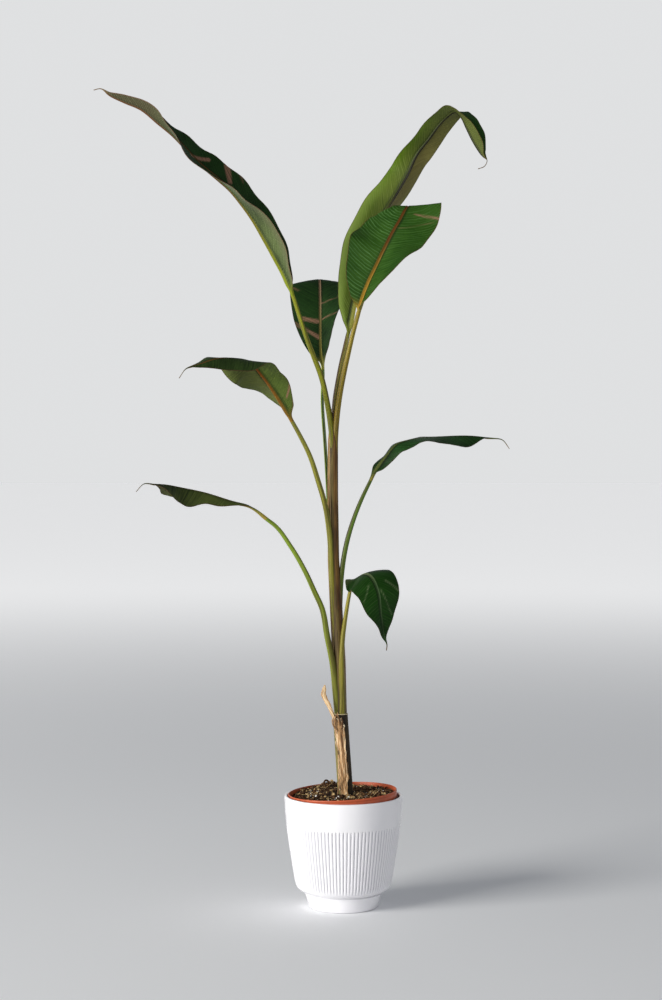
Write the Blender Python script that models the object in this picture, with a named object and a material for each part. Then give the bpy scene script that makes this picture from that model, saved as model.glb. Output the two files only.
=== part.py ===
"""Potted banana plant: a slim stem of wrapped leaf sheaths with eight leaves, in a plastic
nursery pot that stands in a ribbed ceramic cachepot.

Blender 4.5, metres, +Z up. The origin is the middle of the cachepot's underside and -Y is the
front. Sizes in this file are millimetres, turned to metres as each mesh is made.
"""

import math

import bmesh
import bpy
import numpy as np
from mathutils import Matrix, Vector, noise

MM = 0.001
GAP = 0.3
UP = Vector((0, 0, 1))

# Cachepot
POT_HEIGHT = 174.5
POT_RIM_RADIUS = 92.4
POT_WALL = 4.6
BODY_LOW_RADIUS = 76.2
BODY_LOW_Z = 37.5
FOOT_TOP_RADIUS = 61.0
FOOT_TOP_Z = 24.0
FOOT_RADIUS = 54.5
LEDGE_Z = 31.0
RIB_COUNT = 96
RIB_DEPTH = 1.3
RIB_TOP_Z = 136.0
RIB_FADE = 3.0
SMOOTH_SIDES = 64

# Nursery pot, in its own upright frame before it is tilted
NURSERY_HEIGHT = 146.0
NURSERY_LOW_RADIUS = 60.0
NURSERY_HIGH_RADIUS = 80.4
NURSERY_RIM_RADIUS = 84.8
NURSERY_RIM_DEPTH = 12.0
NURSERY_WALL = 1.5
NURSERY_TILT = 2.8
NURSERY_BASE = (5.6, 0.0, 34.3)
DRAIN_HOLES = 6
DRAIN_RADIUS = 5.0
DRAIN_CIRCLE_RADIUS = 38.0

# Soil, in the nursery pot's frame
SOIL_LEVEL = 139.0
SOIL_SIDES = 40
SOIL_RINGS = (0.94, 0.84, 0.72, 0.6, 0.47, 0.34, 0.2)
# Heaps on the soil: x, y, height and spread
SOIL_HEAPS = ((-26, 2, 6.5, 17), (-30, 60, 7.0, 11), (22, 52, 3.0, 16), (44, -20, 1.5, 20))
SOIL_ROUGHNESS = 1.6

# Pseudostem core: x, y, z and radius
STEM_CORE = (
    (5.0, 0.0, 122.0, 12.2),
    (4.4, 0.0, 150.0, 11.9),
    (3.4, 0.0, 184.0, 11.4),
    (-0.5, 0.0, 240.0, 11.2),
    (-4.3, 0.0, 299.0, 11.1),
    (-5.0, 0.0, 303.0, 9.4),
    (-7.0, 0.0, 385.0, 9.4),
    (-12.0, 0.0, 478.0, 8.8),
    (-15.6, 0.0, 541.0, 7.9),
    (-16.7, 0.0, 646.0, 7.3),
    (-16.4, 0.0, 727.0, 6.8),
    (-16.0, 0.0, 775.0, 3.0),
)
STEM_SIDES = 16
STALK_SIDES = 10
STALK_CHANNEL = 0.62

# Dry sheath on the stem's front: height, sideways angle of its left and right edge, and how far
# it stands off the stem
DRY_SHEATH = (
    (181.0, -43, 6, 0.3),
    (205.0, -46, 22, 0.4),
    (240.0, -33, 23, 0.5),
    (270.0, -56, 26, 0.6),
    (288.0, -56, 15, 1.0),
    (296.0, -46, 6, 1.6),
)
DRY_THICKNESS = 1.1
DRY_POINTS = 6
DRY_STUB_SIDES = 8
# Shrivelled stub that grows from the sheath's top: x, y, z, half width and half thickness
DRY_STUB = (
    (-11.8, -10.4, 281.0, 2.6, 1.0),
    (-13.4, -11.3, 291.0, 2.8, 1.2),
    (-16.5, -13.5, 301.0, 2.6, 1.1),
    (-24.0, -15.5, 318.0, 2.2, 1.3),
    (-31.0, -16.5, 330.0, 3.2, 1.2),
    (-30.0, -16.5, 338.0, 4.0, 1.0),
    (-29.5, -16.0, 346.5, 1.2, 0.8),
)

BLADE_THICKNESS = 0.9
LEAST_HALF_WIDTH = 0.6
# The midrib stands out below the blade and makes a channel above it. These are shares of the
# stalk's radius at the blade, but for the first, its share of a half's width at most, and the
# second, how much of it is lost towards the tip.
RIB_WIDTH_SHARE = 0.3
RIB_TAPER = 0.7
RIB_RIDGE = 1.7
RIB_SHOULDER = 1.1
RIB_CHANNEL = 0.4
# How much of the halves' slope the section leans by at the midrib's middle, shoulder and edge
RIB_LEANS = (0, 0.25, 0.6)
RINGS_PER_STEP = 2

# Each leaf. "stalk" is its route from inside the stem to the blade as x, y, z, and "free_from"
# the point where it parts from the stem. "radius" is the stalk's at its foot, where it parts and
# at the blade. "midrib" goes on to the tip. "shape" holds, along the blade: fraction of its
# length, half width, turn of the upper side about the midrib, and how steeply both halves fold
# up from flat. "curl" bends each half on towards its margin. Angles are in degrees.
LEAVES = {
    "low_left": {
        "stalk": ((-6, -1, 268), (-11, -4, 328), (-17, -7, 383), (-25, -9, 423), (-34, -12, 469),
                  (-44, -14, 491), (-59, -17, 524), (-82, -21, 564), (-105, -24, 595),
                  (-119, -26, 606)),
        "free_from": 4,
        "radius": (6.0, 4.5, 3.2),
        "midrib": ((-147, -30, 627), (-176, -33, 636), (-211, -38, 647), (-247, -50, 655),
                   (-272, -70, 660), (-287, -82, 661), (-302, -86, 661), (-314, -87, 649)),
        "shape": ((0, 3.4, 0, 50), (0.13, 5, -5, 10), (0.25, 12, -5, -32), (0.46, 23, -10, -42),
                  (0.62, 31, -12, -44), (0.72, 25, -6, -38), (0.79, 11, 0, -30),
                  (0.87, 3.5, 0, -20), (0.92, 1.2, 0, 0), (1, 0.6, 0, 0)),
        "curl": -10,
        "wave": (1.2, 5),
    },
    "low_right": {
        "stalk": ((-4, -3, 268), (-2, -6, 325), (-3, -9, 389), (-1, -10, 422), (3, -14, 452),
                  (8, -19, 483), (12, -23, 502)),
        "free_from": 4,
        "radius": (6.2, 3.2, 2.6),
        "midrib": ((21, -36, 516), (34, -58, 523), (44, -80, 517), (52, -95, 498),
                   (56, -103, 463), (61, -104, 430), (65, -102, 418), (64, -101, 410)),
        "shape": ((0, 3, 0, -20), (0.05, 26, -14, 12), (0.1, 33, 10, -4), (0.15, 36, 20, -8),
                  (0.24, 37, 21, -7), (0.37, 38, 15, -5), (0.5, 35, 10, 2), (0.68, 25, -5, 10),
                  (0.84, 8, -10, 25), (0.92, 1.6, 0, 0), (1, 0.6, 0, 0)),
        "curl": -20,
        "wave": (1.2, 4),
    },
    "mid_left": {
        "stalk": ((-13, -2, 416), (-18, -5, 518), (-22, -8, 584), (-28, -12, 624),
                  (-39, -20, 663), (-52, -33, 703), (-68, -48, 736), (-79, -58, 756)),
        "free_from": 4,
        "radius": (5.0, 3.9, 3.0),
        "midrib": ((-92, -72, 779), (-105, -84, 800), (-122, -98, 824), (-141, -118, 844),
                   (-166, -142, 849), (-190, -160, 846), (-212, -171, 838), (-232, -175, 831),
                   (-242, -176, 817)),
        "shape": ((0, 3.4, 5, 40), (0.12, 18, 8, 27), (0.23, 29, 13, 16), (0.35, 37, 22, -8),
                  (0.49, 40, 32, -32), (0.58, 36, 12, -38), (0.68, 26, -20, -25),
                  (0.76, 19, -30, -10), (0.86, 8, -20, -10), (0.93, 1.4, 0, 0), (1, 0.6, 0, 0)),
        "curl": -12,
        "wave": (1.4, 5),
    },
    "mid_right": {
        "stalk": ((-8, 1, 401), (-6, 1, 463), (-3, 0, 518), (0, 0, 542), (6, 1, 572),
                  (15, 2, 602), (28, 5, 635), (42, 8, 664)),
        "free_from": 4,
        "radius": (4.4, 3.9, 2.8),
        "midrib": ((52, 11, 684), (66, 14, 703), (82, 17, 721), (104, 20, 728), (153, 26, 733),
                   (205, 32, 734), (230, 34, 731), (250, 35, 728), (261, 35, 714)),
        "shape": ((0, 3, 10, 30), (0.09, 10, 38, -8), (0.18, 16, 20, -20), (0.27, 23, 14, -17),
                  (0.37, 29, 3, -5), (0.55, 33, 3, -6), (0.7, 30, 8, -20), (0.76, 18, 8, -20),
                  (0.82, 6, 4, -12), (0.91, 1.6, 0, 0), (1, 0.6, 0, 0)),
        "curl": -8,
        "wave": (1.6, 5),
    },
    "back": {
        "stalk": ((-19, 4, 541), (-23, 7, 619), (-26, 10, 679), (-29, 15, 726), (-33, 27, 790),
                  (-32, 39, 838)),
        "free_from": 3,
        "radius": (3.0, 2.7, 2.5),
        "midrib": ((-35, 50, 870), (-36, 72, 918), (-37, 97, 960), (-38, 122, 986),
                   (-42, 155, 983), (-46, 182, 955), (-49, 198, 919), (-51, 204, 890)),
        "shape": ((0, 3, 0, 20), (0.05, 10, -30, 34), (0.11, 22, -34, 34), (0.28, 42, -32, 26),
                  (0.44, 48, -12, 10), (0.55, 48, -5, -3), (0.7, 40, 0, -15), (0.88, 16, 0, -10),
                  (0.95, 1.4, 0, 0), (1, 0.6, 0, 0)),
        "curl": -10,
        "wave": (1.4, 5),
    },
    "top_left": {
        "stalk": ((-16, -2, 681), (-19, -3, 743), (-26, -6, 789), (-35, -10, 827),
                  (-46, -14, 856), (-57, -18, 885), (-68, -22, 918), (-78, -27, 949)),
        "free_from": 3,
        "radius": (4.6, 4.2, 3.0),
        "midrib": ((-90, -31, 980), (-104, -35, 1006), (-122, -41, 1038), (-138, -46, 1065),
                   (-155, -50, 1088), (-172, -53, 1108), (-193, -56, 1126), (-217, -58, 1146),
                   (-238, -59, 1168), (-259, -59, 1190), (-282, -57, 1209), (-308, -55, 1230),
                   (-333, -52, 1241), (-354, -50, 1251), (-371, -48, 1262), (-381, -47, 1260)),
        "shape": ((0, 3.4, -15, 40), (0.07, 16, -26, 38), (0.14, 28, -27, 45),
                  (0.22, 34, -27, 46), (0.29, 36, -30, 35), (0.37, 37, -37, 24),
                  (0.47, 36, -43, 20), (0.55, 33, -48, 13), (0.62, 28, -42, 12),
                  (0.69, 23, -30, 18), (0.76, 19, -16, 36), (0.88, 11.5, -11, 50),
                  (0.93, 6, -10, 45), (0.965, 1.4, 0, 10), (1, 0.6, 0, 0)),
        "curl": 5,
        "wave": (1.6, 8),
    },
    "top_right": {
        "stalk": ((-15, 3, 681), (-15, 5, 743), (-13, 8, 790), (-8, 11, 821), (-3, 15, 848),
                  (2, 18, 870), (6, 20, 888)),
        "free_from": 3,
        "radius": (4.0, 3.9, 3.2),
        "midrib": ((12, 23, 913), (17, 27, 939), (25, 32, 969), (37, 38, 1013), (53, 44, 1058),
                   (66, 46, 1086), (84, 46, 1116), (101, 42, 1145), (115, 36, 1175),
                   (134, 26, 1199), (148, 15, 1217), (161, 2, 1229), (172, -12, 1234),
                   (181, -24, 1224), (189, -32, 1205), (199, -38, 1183), (210, -41, 1165),
                   (219, -43, 1153), (215, -44, 1145), (205, -43, 1141)),
        "shape": ((0, 4, -60, 45), (0.05, 14, -70, 46), (0.09, 24, -74, 45), (0.16, 34, -74, 45),
                  (0.25, 42, -74, 44), (0.34, 41, -76, 42), (0.46, 33, -86, 32),
                  (0.53, 28, -90, 25), (0.6, 25, -82, -3), (0.7, 23.5, -77, -1),
                  (0.77, 22.5, -70, 5), (0.81, 22, -75, 22), (0.85, 21, -74, 54),
                  (0.89, 20, -76, 60), (0.93, 10, -80, 60), (0.955, 1.4, -80, 20),
                  (1, 0.6, -80, 0)),
        "curl": 5,
        "wave": (1.6, 8),
    },
    "front_right": {
        "stalk": ((-14, -1, 681), (-12, -3, 743), (-7, -8, 789), (0, -12, 828), (7, -15, 860),
                  (14.5, -18, 892), (22, -21, 920)),
        "free_from": 3,
        "radius": (4.8, 4.1, 3.4),
        "midrib": ((28, -23, 941), (37, -26, 966), (49, -27, 992), (61, -26, 1018),
                   (75, -21, 1047), (87, -14, 1068), (96, -3, 1085), (101, 10, 1091),
                   (104, 22, 1085), (105, 28, 1068), (104, 29, 1045), (101, 26, 1027)),
        "shape": ((0, 4, 60, 40), (0.078, 18, 70, 36), (0.167, 34, 75, 31), (0.28, 48, 78, 27),
                  (0.38, 55, 83, 20), (0.49, 57, 80, -6), (0.58, 57, 82, -13),
                  (0.66, 57, 82, -10), (0.73, 53, 75, 1), (0.82, 36, 64, -8), (0.91, 18, 64, -5),
                  (0.96, 1.6, 64, 0), (1, 0.6, 64, 0)),
        "curl": 5,
        "wave": (1.8, 6),
    },
}

# Name: colour, roughness
FINISHES = {
    "glazed_ceramic": ((0.86, 0.86, 0.87), 0.2),
    "terracotta_plastic": ((0.56, 0.13, 0.05), 0.45),
    "potting_soil": ((0.07, 0.04, 0.02), 0.95),
    "stem_sheath": ((0.16, 0.09, 0.03), 0.5),
    "leaf_stalk": ((0.22, 0.2, 0.05), 0.4),
    "leaf_blade": ((0.03, 0.1, 0.02), 0.4),
    "dry_leaf": ((0.42, 0.27, 0.14), 0.85),
}


def clear_scene():
    for old in list(bpy.data.objects):
        bpy.data.objects.remove(old, do_unlink=True)


def finish_material(name):
    material = bpy.data.materials.get(name)
    if material:
        return material
    colour, roughness = FINISHES[name]
    material = bpy.data.materials.new(name)
    material.use_nodes = True
    shader = material.node_tree.nodes["Principled BSDF"]
    shader.inputs["Base Color"].default_value = (*colour, 1)
    shader.inputs["Roughness"].default_value = roughness
    material.diffuse_color = (*colour, 1)
    return material


def make_object(name, bm, finish, crease=35):
    """An object from a bmesh drawn in millimetres."""
    bmesh.ops.scale(bm, vec=(MM, MM, MM), verts=bm.verts)
    bmesh.ops.recalc_face_normals(bm, faces=bm.faces)
    mesh = bpy.data.meshes.new(name)
    bm.to_mesh(mesh)
    bm.free()
    mesh.shade_smooth()
    mesh.set_sharp_from_angle(angle=math.radians(crease))
    mesh.materials.append(finish_material(finish))
    made = bpy.data.objects.new(name, mesh)
    bpy.context.scene.collection.objects.link(made)
    return made


def apply_boolean(target, operation, cutters):
    """Joins or cuts with a collection of helpers, which are then removed."""
    helpers = bpy.data.collections.new("helpers")
    bpy.context.scene.collection.children.link(helpers)
    for cutter in cutters:
        bpy.context.scene.collection.objects.unlink(cutter)
        helpers.objects.link(cutter)
        cutter.hide_render = True
        cutter.display_type = "WIRE"
    modifier = target.modifiers.new("boolean", "BOOLEAN")
    modifier.operation = operation
    modifier.operand_type = "COLLECTION"
    modifier.collection = helpers
    modifier.solver = "EXACT"
    graph = bpy.context.evaluated_depsgraph_get()
    graph.update()
    result = bpy.data.meshes.new_from_object(target.evaluated_get(graph))
    target.modifiers.clear()
    target.data = result
    for cutter in cutters:
        bpy.data.objects.remove(cutter, do_unlink=True)
    bpy.data.collections.remove(helpers)


def circle(bm, radius, z, sides, groove=0.0):
    """A ring of points, with every second one pulled in by the groove."""
    ring = []
    for i in range(sides):
        angle = 2 * math.pi * i / sides
        reach = radius - groove * (i % 2)
        ring.append(bm.verts.new((reach * math.cos(angle), reach * math.sin(angle), z)))
    return ring


def join_rings(bm, ring, other):
    """Faces between two rings, where one may have several times the other's points."""
    if len(ring) > len(other):
        ring, other = other, ring
    count = len(ring)
    times = len(other) // count
    half = times // 2
    for i in range(count):
        here, after = ring[i], ring[(i + 1) % count]
        fan = [other[(times * i + k) % len(other)] for k in range(-half, times - half + 1)]
        for a, b in zip(fan[:-2], fan[1:-1]):
            bm.faces.new((here, a, b))
        if times == 1:
            bm.faces.new((here, after, fan[1], fan[0]))
        else:
            bm.faces.new((here, after, fan[-1], fan[-2]))


def turned(bm, profile):
    """A closed turned shape from rings of radius, z, sides and groove."""
    rings = [circle(bm, *row) for row in profile]
    for ring, other in zip(rings, rings[1:]):
        join_rings(bm, ring, other)
    bm.faces.new(rings[0])
    bm.faces.new(rings[-1])


def body_radius(z):
    """The cachepot's outside, which tapers from its rim to its lower edge."""
    slope = (POT_RIM_RADIUS - BODY_LOW_RADIUS) / (POT_HEIGHT - BODY_LOW_Z)
    return BODY_LOW_RADIUS + slope * (z - BODY_LOW_Z)


def build_cachepot():
    smooth, ribbed = SMOOTH_SIDES, 2 * RIB_COUNT
    rib_top = RIB_TOP_Z - RIB_FADE
    rib_low = BODY_LOW_Z + 1.5
    inner_low = BODY_LOW_RADIUS - POT_WALL - 1.2
    bm = bmesh.new()
    turned(bm, (
        (FOOT_RADIUS - 2.5, 0, smooth),
        (FOOT_RADIUS, 2, smooth),
        (FOOT_TOP_RADIUS, FOOT_TOP_Z, smooth),
        (BODY_LOW_RADIUS - 5.5, FOOT_TOP_Z + 3.5, smooth),
        (BODY_LOW_RADIUS - 1.6, FOOT_TOP_Z + 7.5, smooth),
        (body_radius(BODY_LOW_Z - 1), BODY_LOW_Z - 1, ribbed),
        (body_radius(rib_low), rib_low, ribbed, RIB_DEPTH),
        (body_radius(rib_top), rib_top, ribbed, RIB_DEPTH),
        (body_radius(RIB_TOP_Z), RIB_TOP_Z, smooth),
        (POT_RIM_RADIUS - 0.3, POT_HEIGHT - 2.4, smooth),
        (POT_RIM_RADIUS - 1.6, POT_HEIGHT, smooth),
        (POT_RIM_RADIUS - POT_WALL + 0.8, POT_HEIGHT, smooth),
        (POT_RIM_RADIUS - POT_WALL, POT_HEIGHT - 1.5, smooth),
        (inner_low, BODY_LOW_Z, smooth),
        (inner_low - 2, LEDGE_Z, smooth),
        (FOOT_RADIUS - 2, LEDGE_Z, smooth),
        (FOOT_RADIUS - 6, 7, smooth),
    ))
    make_object("cachepot", bm, "glazed_ceramic")


def nursery_place():
    """The nursery pot's place: tilted to one side, its low edge on the cachepot's ledge."""
    turn = Matrix.Rotation(math.radians(-NURSERY_TILT), 4, "Y")
    return Matrix.Translation(NURSERY_BASE) @ turn


def nursery_inner(z):
    """Inside radius of the nursery pot below its rim."""
    floor, shoulder = NURSERY_WALL, NURSERY_HEIGHT - NURSERY_RIM_DEPTH
    low = NURSERY_LOW_RADIUS - NURSERY_WALL
    high = NURSERY_HIGH_RADIUS - NURSERY_WALL
    return low + (high - low) * (z - floor) / (shoulder - floor)


def build_nursery_pot():
    shoulder = NURSERY_HEIGHT - NURSERY_RIM_DEPTH
    rim_inside = NURSERY_RIM_RADIUS - NURSERY_WALL
    sides = SMOOTH_SIDES
    floor = NURSERY_WALL + 0.1
    bm = bmesh.new()
    turned(bm, (
        (NURSERY_LOW_RADIUS - 2, 0, sides),
        (NURSERY_LOW_RADIUS, 2, sides),
        (NURSERY_HIGH_RADIUS, shoulder, sides),
        (NURSERY_RIM_RADIUS - 0.4, shoulder + 0.6, sides),
        (NURSERY_RIM_RADIUS, NURSERY_HEIGHT - 1, sides),
        (NURSERY_RIM_RADIUS - 0.5, NURSERY_HEIGHT, sides),
        (rim_inside, NURSERY_HEIGHT, sides),
        (rim_inside - 0.4, shoulder + 3, sides),
        (nursery_inner(shoulder), shoulder, sides),
        (nursery_inner(floor), floor, sides),
    ))
    pot = make_object("nursery_pot", bm, "terracotta_plastic")
    drains = []
    for i in range(DRAIN_HOLES):
        place = Matrix.Rotation(2 * math.pi * i / DRAIN_HOLES, 4, "Z")
        place @= Matrix.Translation((DRAIN_CIRCLE_RADIUS, 0, floor / 2))
        drain = bmesh.new()
        bmesh.ops.create_cone(
            drain, cap_ends=True, segments=10, radius1=DRAIN_RADIUS, radius2=DRAIN_RADIUS,
            depth=3 * NURSERY_WALL, matrix=place)
        drains.append(make_object(f"drain_{i}", drain, "terracotta_plastic"))
    apply_boolean(pot, "DIFFERENCE", drains)
    pot.data.transform(Matrix.Scale(1 / MM, 4))
    pot.data.transform(nursery_place())
    pot.data.transform(Matrix.Scale(MM, 4))


def soil_height(x, y):
    """The soil's surface: gentle heaps and crumbs, level with the rim's shoulder at the edge."""
    height = SOIL_LEVEL
    for heap_x, heap_y, rise, spread in SOIL_HEAPS:
        height += rise * math.exp(-((x - heap_x) ** 2 + (y - heap_y) ** 2) / (2 * spread ** 2))
    height += SOIL_ROUGHNESS * noise.noise(Vector((x, y, 0)) * 0.13)
    return height


def build_soil():
    shoulder = NURSERY_HEIGHT - NURSERY_RIM_DEPTH
    reach = NURSERY_RIM_RADIUS - NURSERY_WALL - 1.0
    low = NURSERY_WALL + 0.1 + GAP
    bm = bmesh.new()
    rings = [
        circle(bm, nursery_inner(low) - 2 * GAP, low, SOIL_SIDES),
        circle(bm, nursery_inner(shoulder) - 2 * GAP, shoulder, SOIL_SIDES),
        circle(bm, reach, shoulder + 3.6, SOIL_SIDES),
    ]
    for part in SOIL_RINGS:
        ring = circle(bm, reach * part, 0, SOIL_SIDES)
        for point in ring:
            point.co.z = soil_height(point.co.x, point.co.y)
        rings.append(ring)
    for ring, other in zip(rings, rings[1:]):
        join_rings(bm, ring, other)
    bm.faces.new(rings[0])
    middle = bm.verts.new((0, 0, soil_height(0, 0)))
    last = rings[-1]
    for a, b in zip(last, last[1:] + last[:1]):
        bm.faces.new((a, b, middle))
    bmesh.ops.triangulate(bm, faces=bm.faces)
    bmesh.ops.transform(bm, matrix=nursery_place(), verts=bm.verts)
    soil = make_object("soil", bm, "potting_soil")
    hole = core_tube(STEM_CORE[:5], GAP, foot=GAP)
    apply_boolean(soil, "DIFFERENCE", [make_object("hole", hole, "potting_soil")])


def smooth(knots, values, query):
    """A smooth curve through values at knots, and its slope, read at the query places."""
    knots, values = np.asarray(knots, float), np.asarray(values, float)
    slopes = np.gradient(values, knots, axis=0)
    i = np.clip(np.searchsorted(knots, query, "right") - 1, 0, len(knots) - 2)
    step = (knots[i + 1] - knots[i])[:, None]
    t = (query - knots[i])[:, None] / step
    a, b, da, db = values[i], values[i + 1], slopes[i] * step, slopes[i + 1] * step
    at = (2 * t ** 3 - 3 * t ** 2 + 1) * a + (t ** 3 - 2 * t ** 2 + t) * da
    at += (3 * t ** 2 - 2 * t ** 3) * b + (t ** 3 - t ** 2) * db
    rate = (6 * t ** 2 - 6 * t) * (a - b) + (3 * t ** 2 - 4 * t + 1) * da
    rate += (3 * t ** 2 - 2 * t) * db
    return at, rate


def spread(knots, first, last, per_step):
    """Places from one knot to another, evenly spaced between each pair of knots."""
    places = [knots[first]]
    for a, b in zip(knots[first:last], knots[first + 1:last + 1]):
        places += [a + (b - a) * k / per_step for k in range(1, per_step + 1)]
    return np.array(places)


def chord_lengths(points):
    steps = np.linalg.norm(np.diff(np.asarray(points, float), axis=0), axis=1)
    return np.concatenate(([0], np.cumsum(steps)))


def carried_frames(places, tangents, start):
    """The upper side along a route, carried without twist from where it faces most upwards."""
    first = UP - UP.dot(tangents[start]) * tangents[start]
    uppers = {start: first.normalized()}
    for order in (range(start + 1, len(places)), range(start - 1, -1, -1)):
        last = start
        for i in order:
            turn = tangents[last].rotation_difference(tangents[i])
            uppers[i] = turn @ uppers[last]
            last = i
    return [uppers[i] for i in range(len(places))]


def leaf_route(leaf):
    """Knots of the whole leaf's route, and the numbers of the knots where it parts from the
    stem and where the blade starts."""
    points = leaf["stalk"] + leaf["midrib"]
    return points, chord_lengths(points), leaf["free_from"], len(leaf["stalk"]) - 1


def leaf_frames(leaf, first, last):
    """Position, direction and upper side at the rings from one knot to another."""
    points, knots, _, blade_from = leaf_route(leaf)
    every = spread(knots, 0, len(knots) - 1, RINGS_PER_STEP)
    at, rate = smooth(knots, points, every)
    tangents = [Vector(r).normalized() for r in rate]
    uppers = carried_frames(every, tangents, blade_from * RINGS_PER_STEP)
    rows = zip(every, (Vector(p) for p in at), tangents, uppers)
    return list(rows)[first * RINGS_PER_STEP:last * RINGS_PER_STEP + 1]


def skin_rings(bm, rings):
    """Triangles along a row of rings with as many points each, and its two ends."""
    for ring, other in zip(rings, rings[1:]):
        count = len(ring)
        for i in range(count):
            j = (i + 1) % count
            bm.faces.new((ring[i], ring[j], other[j]))
            bm.faces.new((ring[i], other[j], other[i]))
    bm.faces.new(rings[0])
    bm.faces.new(rings[-1])


def stalk_ring(bm, at, tangent, upper, radius):
    """A round section with a shallow channel along its upper side."""
    side = tangent.cross(upper)
    ring = []
    for i in range(STALK_SIDES):
        angle = 2 * math.pi * i / STALK_SIDES
        reach = radius * (STALK_CHANNEL if i == 0 else 1)
        ring.append(bm.verts.new(at + reach * (math.cos(angle) * upper + math.sin(angle) * side)))
    return ring


def stalk_tube(leaf, first, last, trim):
    """The leaf's stalk from one knot of its route to another, its ends trimmed back."""
    _, knots, free_from, blade_from = leaf_route(leaf)
    rows = leaf_frames(leaf, first, last)
    radii = np.interp([row[0] for row in rows],
                      (knots[0], knots[free_from], knots[blade_from]), leaf["radius"]).tolist()
    bm = bmesh.new()
    rings = []
    for i, ((_, at, tangent, upper), radius) in enumerate(zip(rows, radii)):
        if i == 0:
            at = at + tangent * trim[0]
        if i == len(rows) - 1:
            at = at - tangent * trim[1]
        rings.append(stalk_ring(bm, at, tangent, upper, radius))
    skin_rings(bm, rings)
    return bm


def core_tube(rows, grow=0.0, foot=0.0):
    """A round tube along rows of x, y, z and radius."""
    bm = bmesh.new()
    rings = []
    for i, (x, y, z, radius) in enumerate(rows):
        ring = circle(bm, radius + grow, 0, STEM_SIDES)
        for point in ring:
            point.co += Vector((x, y, z - (foot if i == 0 else 0)))
        rings.append(ring)
    skin_rings(bm, rings)
    return bm


def build_pseudostem():
    stem = make_object("pseudostem", core_tube(STEM_CORE), "stem_sheath")
    stubs = []
    for name, leaf in LEAVES.items():
        tube = stalk_tube(leaf, 0, leaf["free_from"], (0, GAP / 2))
        stubs.append(make_object(f"stub_{name}", tube, "stem_sheath"))
    apply_boolean(stem, "UNION", stubs)


def build_stalk(name, leaf):
    last = len(leaf["stalk"]) - 1
    tube = stalk_tube(leaf, leaf["free_from"], last, (GAP / 2, GAP / 2))
    make_object(f"{name}_stalk", tube, "leaf_stalk")


def half_section(distance, width, fold, curl):
    """A point of one half of the blade's section, out from the midrib and up, and its slope."""
    start = math.radians(fold)
    bend = math.radians(curl) / width
    if abs(bend) < 1e-6:
        return distance * math.cos(start), distance * math.sin(start), start
    end = start + bend * distance
    return (math.sin(end) - math.sin(start)) / bend, (math.cos(start) - math.cos(end)) / bend, end


def blade_ring(bm, frame, shape, rib, curl, wave):
    """A section of the blade: its upper face from left to right, then its lower face back."""
    _, at, tangent, upper = frame
    width, turn, fold = shape
    upper = Matrix.Rotation(math.radians(turn), 3, tangent) @ upper
    side = tangent.cross(upper)
    rib = min(rib, width * RIB_WIDTH_SHARE)
    out = (0.8 * rib, 1.5 * rib, 0.5 * width + 0.5 * rib, width)
    leans = dict(zip((0, *out), RIB_LEANS))
    above, below = [], []
    for place in [-d for d in reversed(out)] + [0] + list(out):
        x, rise, slope = half_section(abs(place), width, fold, curl)
        rise += wave * (place / width) ** 2
        slope *= leans.get(abs(place), 1)
        sign = -1 if place < 0 else 1
        middle = at + side * (sign * x) + upper * rise
        across = upper * math.cos(slope) - side * (sign * math.sin(slope))
        thick = min(BLADE_THICKNESS, width) / 2
        ridge = {0: RIB_RIDGE, out[0]: RIB_SHOULDER}.get(abs(place), 0) * rib
        groove = RIB_CHANNEL * rib if place == 0 else 0
        above.append(bm.verts.new(middle + across * (thick - groove)))
        below.append(bm.verts.new(middle - across * (thick + ridge)))
    return above, below


def build_blade(name, leaf):
    points, knots, _, blade_from = leaf_route(leaf)
    frames = leaf_frames(leaf, blade_from, len(points) - 1)
    length = knots[-1] - knots[blade_from]
    part = [float(row[0] - knots[blade_from]) / length for row in frames]
    keys = np.array(leaf["shape"], float)
    shapes, _ = smooth(keys[:, 0], keys[:, 1:], np.array(part))
    shapes[:, 0] = np.maximum(shapes[:, 0], LEAST_HALF_WIDTH)
    size, count = leaf["wave"]
    bm = bmesh.new()
    rings = []
    for i, (frame, shape, along) in enumerate(zip(frames, shapes, part)):
        if i == 0:
            frame = (frame[0], frame[1] + frame[2] * GAP / 2, frame[2], frame[3])
        rib = leaf["radius"][2] * (1 - RIB_TAPER * along)
        wave = size * math.sin(math.pi * along) * math.sin(2 * math.pi * count * along)
        rings.append(blade_ring(bm, frame, shape.tolist(), rib, leaf["curl"], wave))
    skin_blade(bm, rings)
    make_object(f"{name}_blade", bm, "leaf_blade")


def skin_blade(bm, rings):
    """Both faces split alike into triangles, the two margins and the two ends."""
    for (above, below), (above_next, below_next) in zip(rings, rings[1:]):
        for j in range(len(above) - 1):
            bm.faces.new((above[j], above[j + 1], above_next[j + 1]))
            bm.faces.new((above[j], above_next[j + 1], above_next[j]))
            bm.faces.new((below[j + 1], below[j], below_next[j + 1]))
            bm.faces.new((below[j], below_next[j], below_next[j + 1]))
        for j in (0, -1):
            bm.faces.new((above[j], above_next[j], below_next[j]))
            bm.faces.new((above[j], below_next[j], below[j]))
    for above, below in (rings[0], rings[-1]):
        for j in range(len(above) - 1):
            bm.faces.new((above[j], above[j + 1], below[j + 1], below[j]))


def stem_at(z):
    """The stem core's axis and radius at a height."""
    rows = np.array(STEM_CORE)
    return [float(np.interp(z, rows[:, 2], rows[:, k])) for k in (0, 1, 3)]


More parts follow.
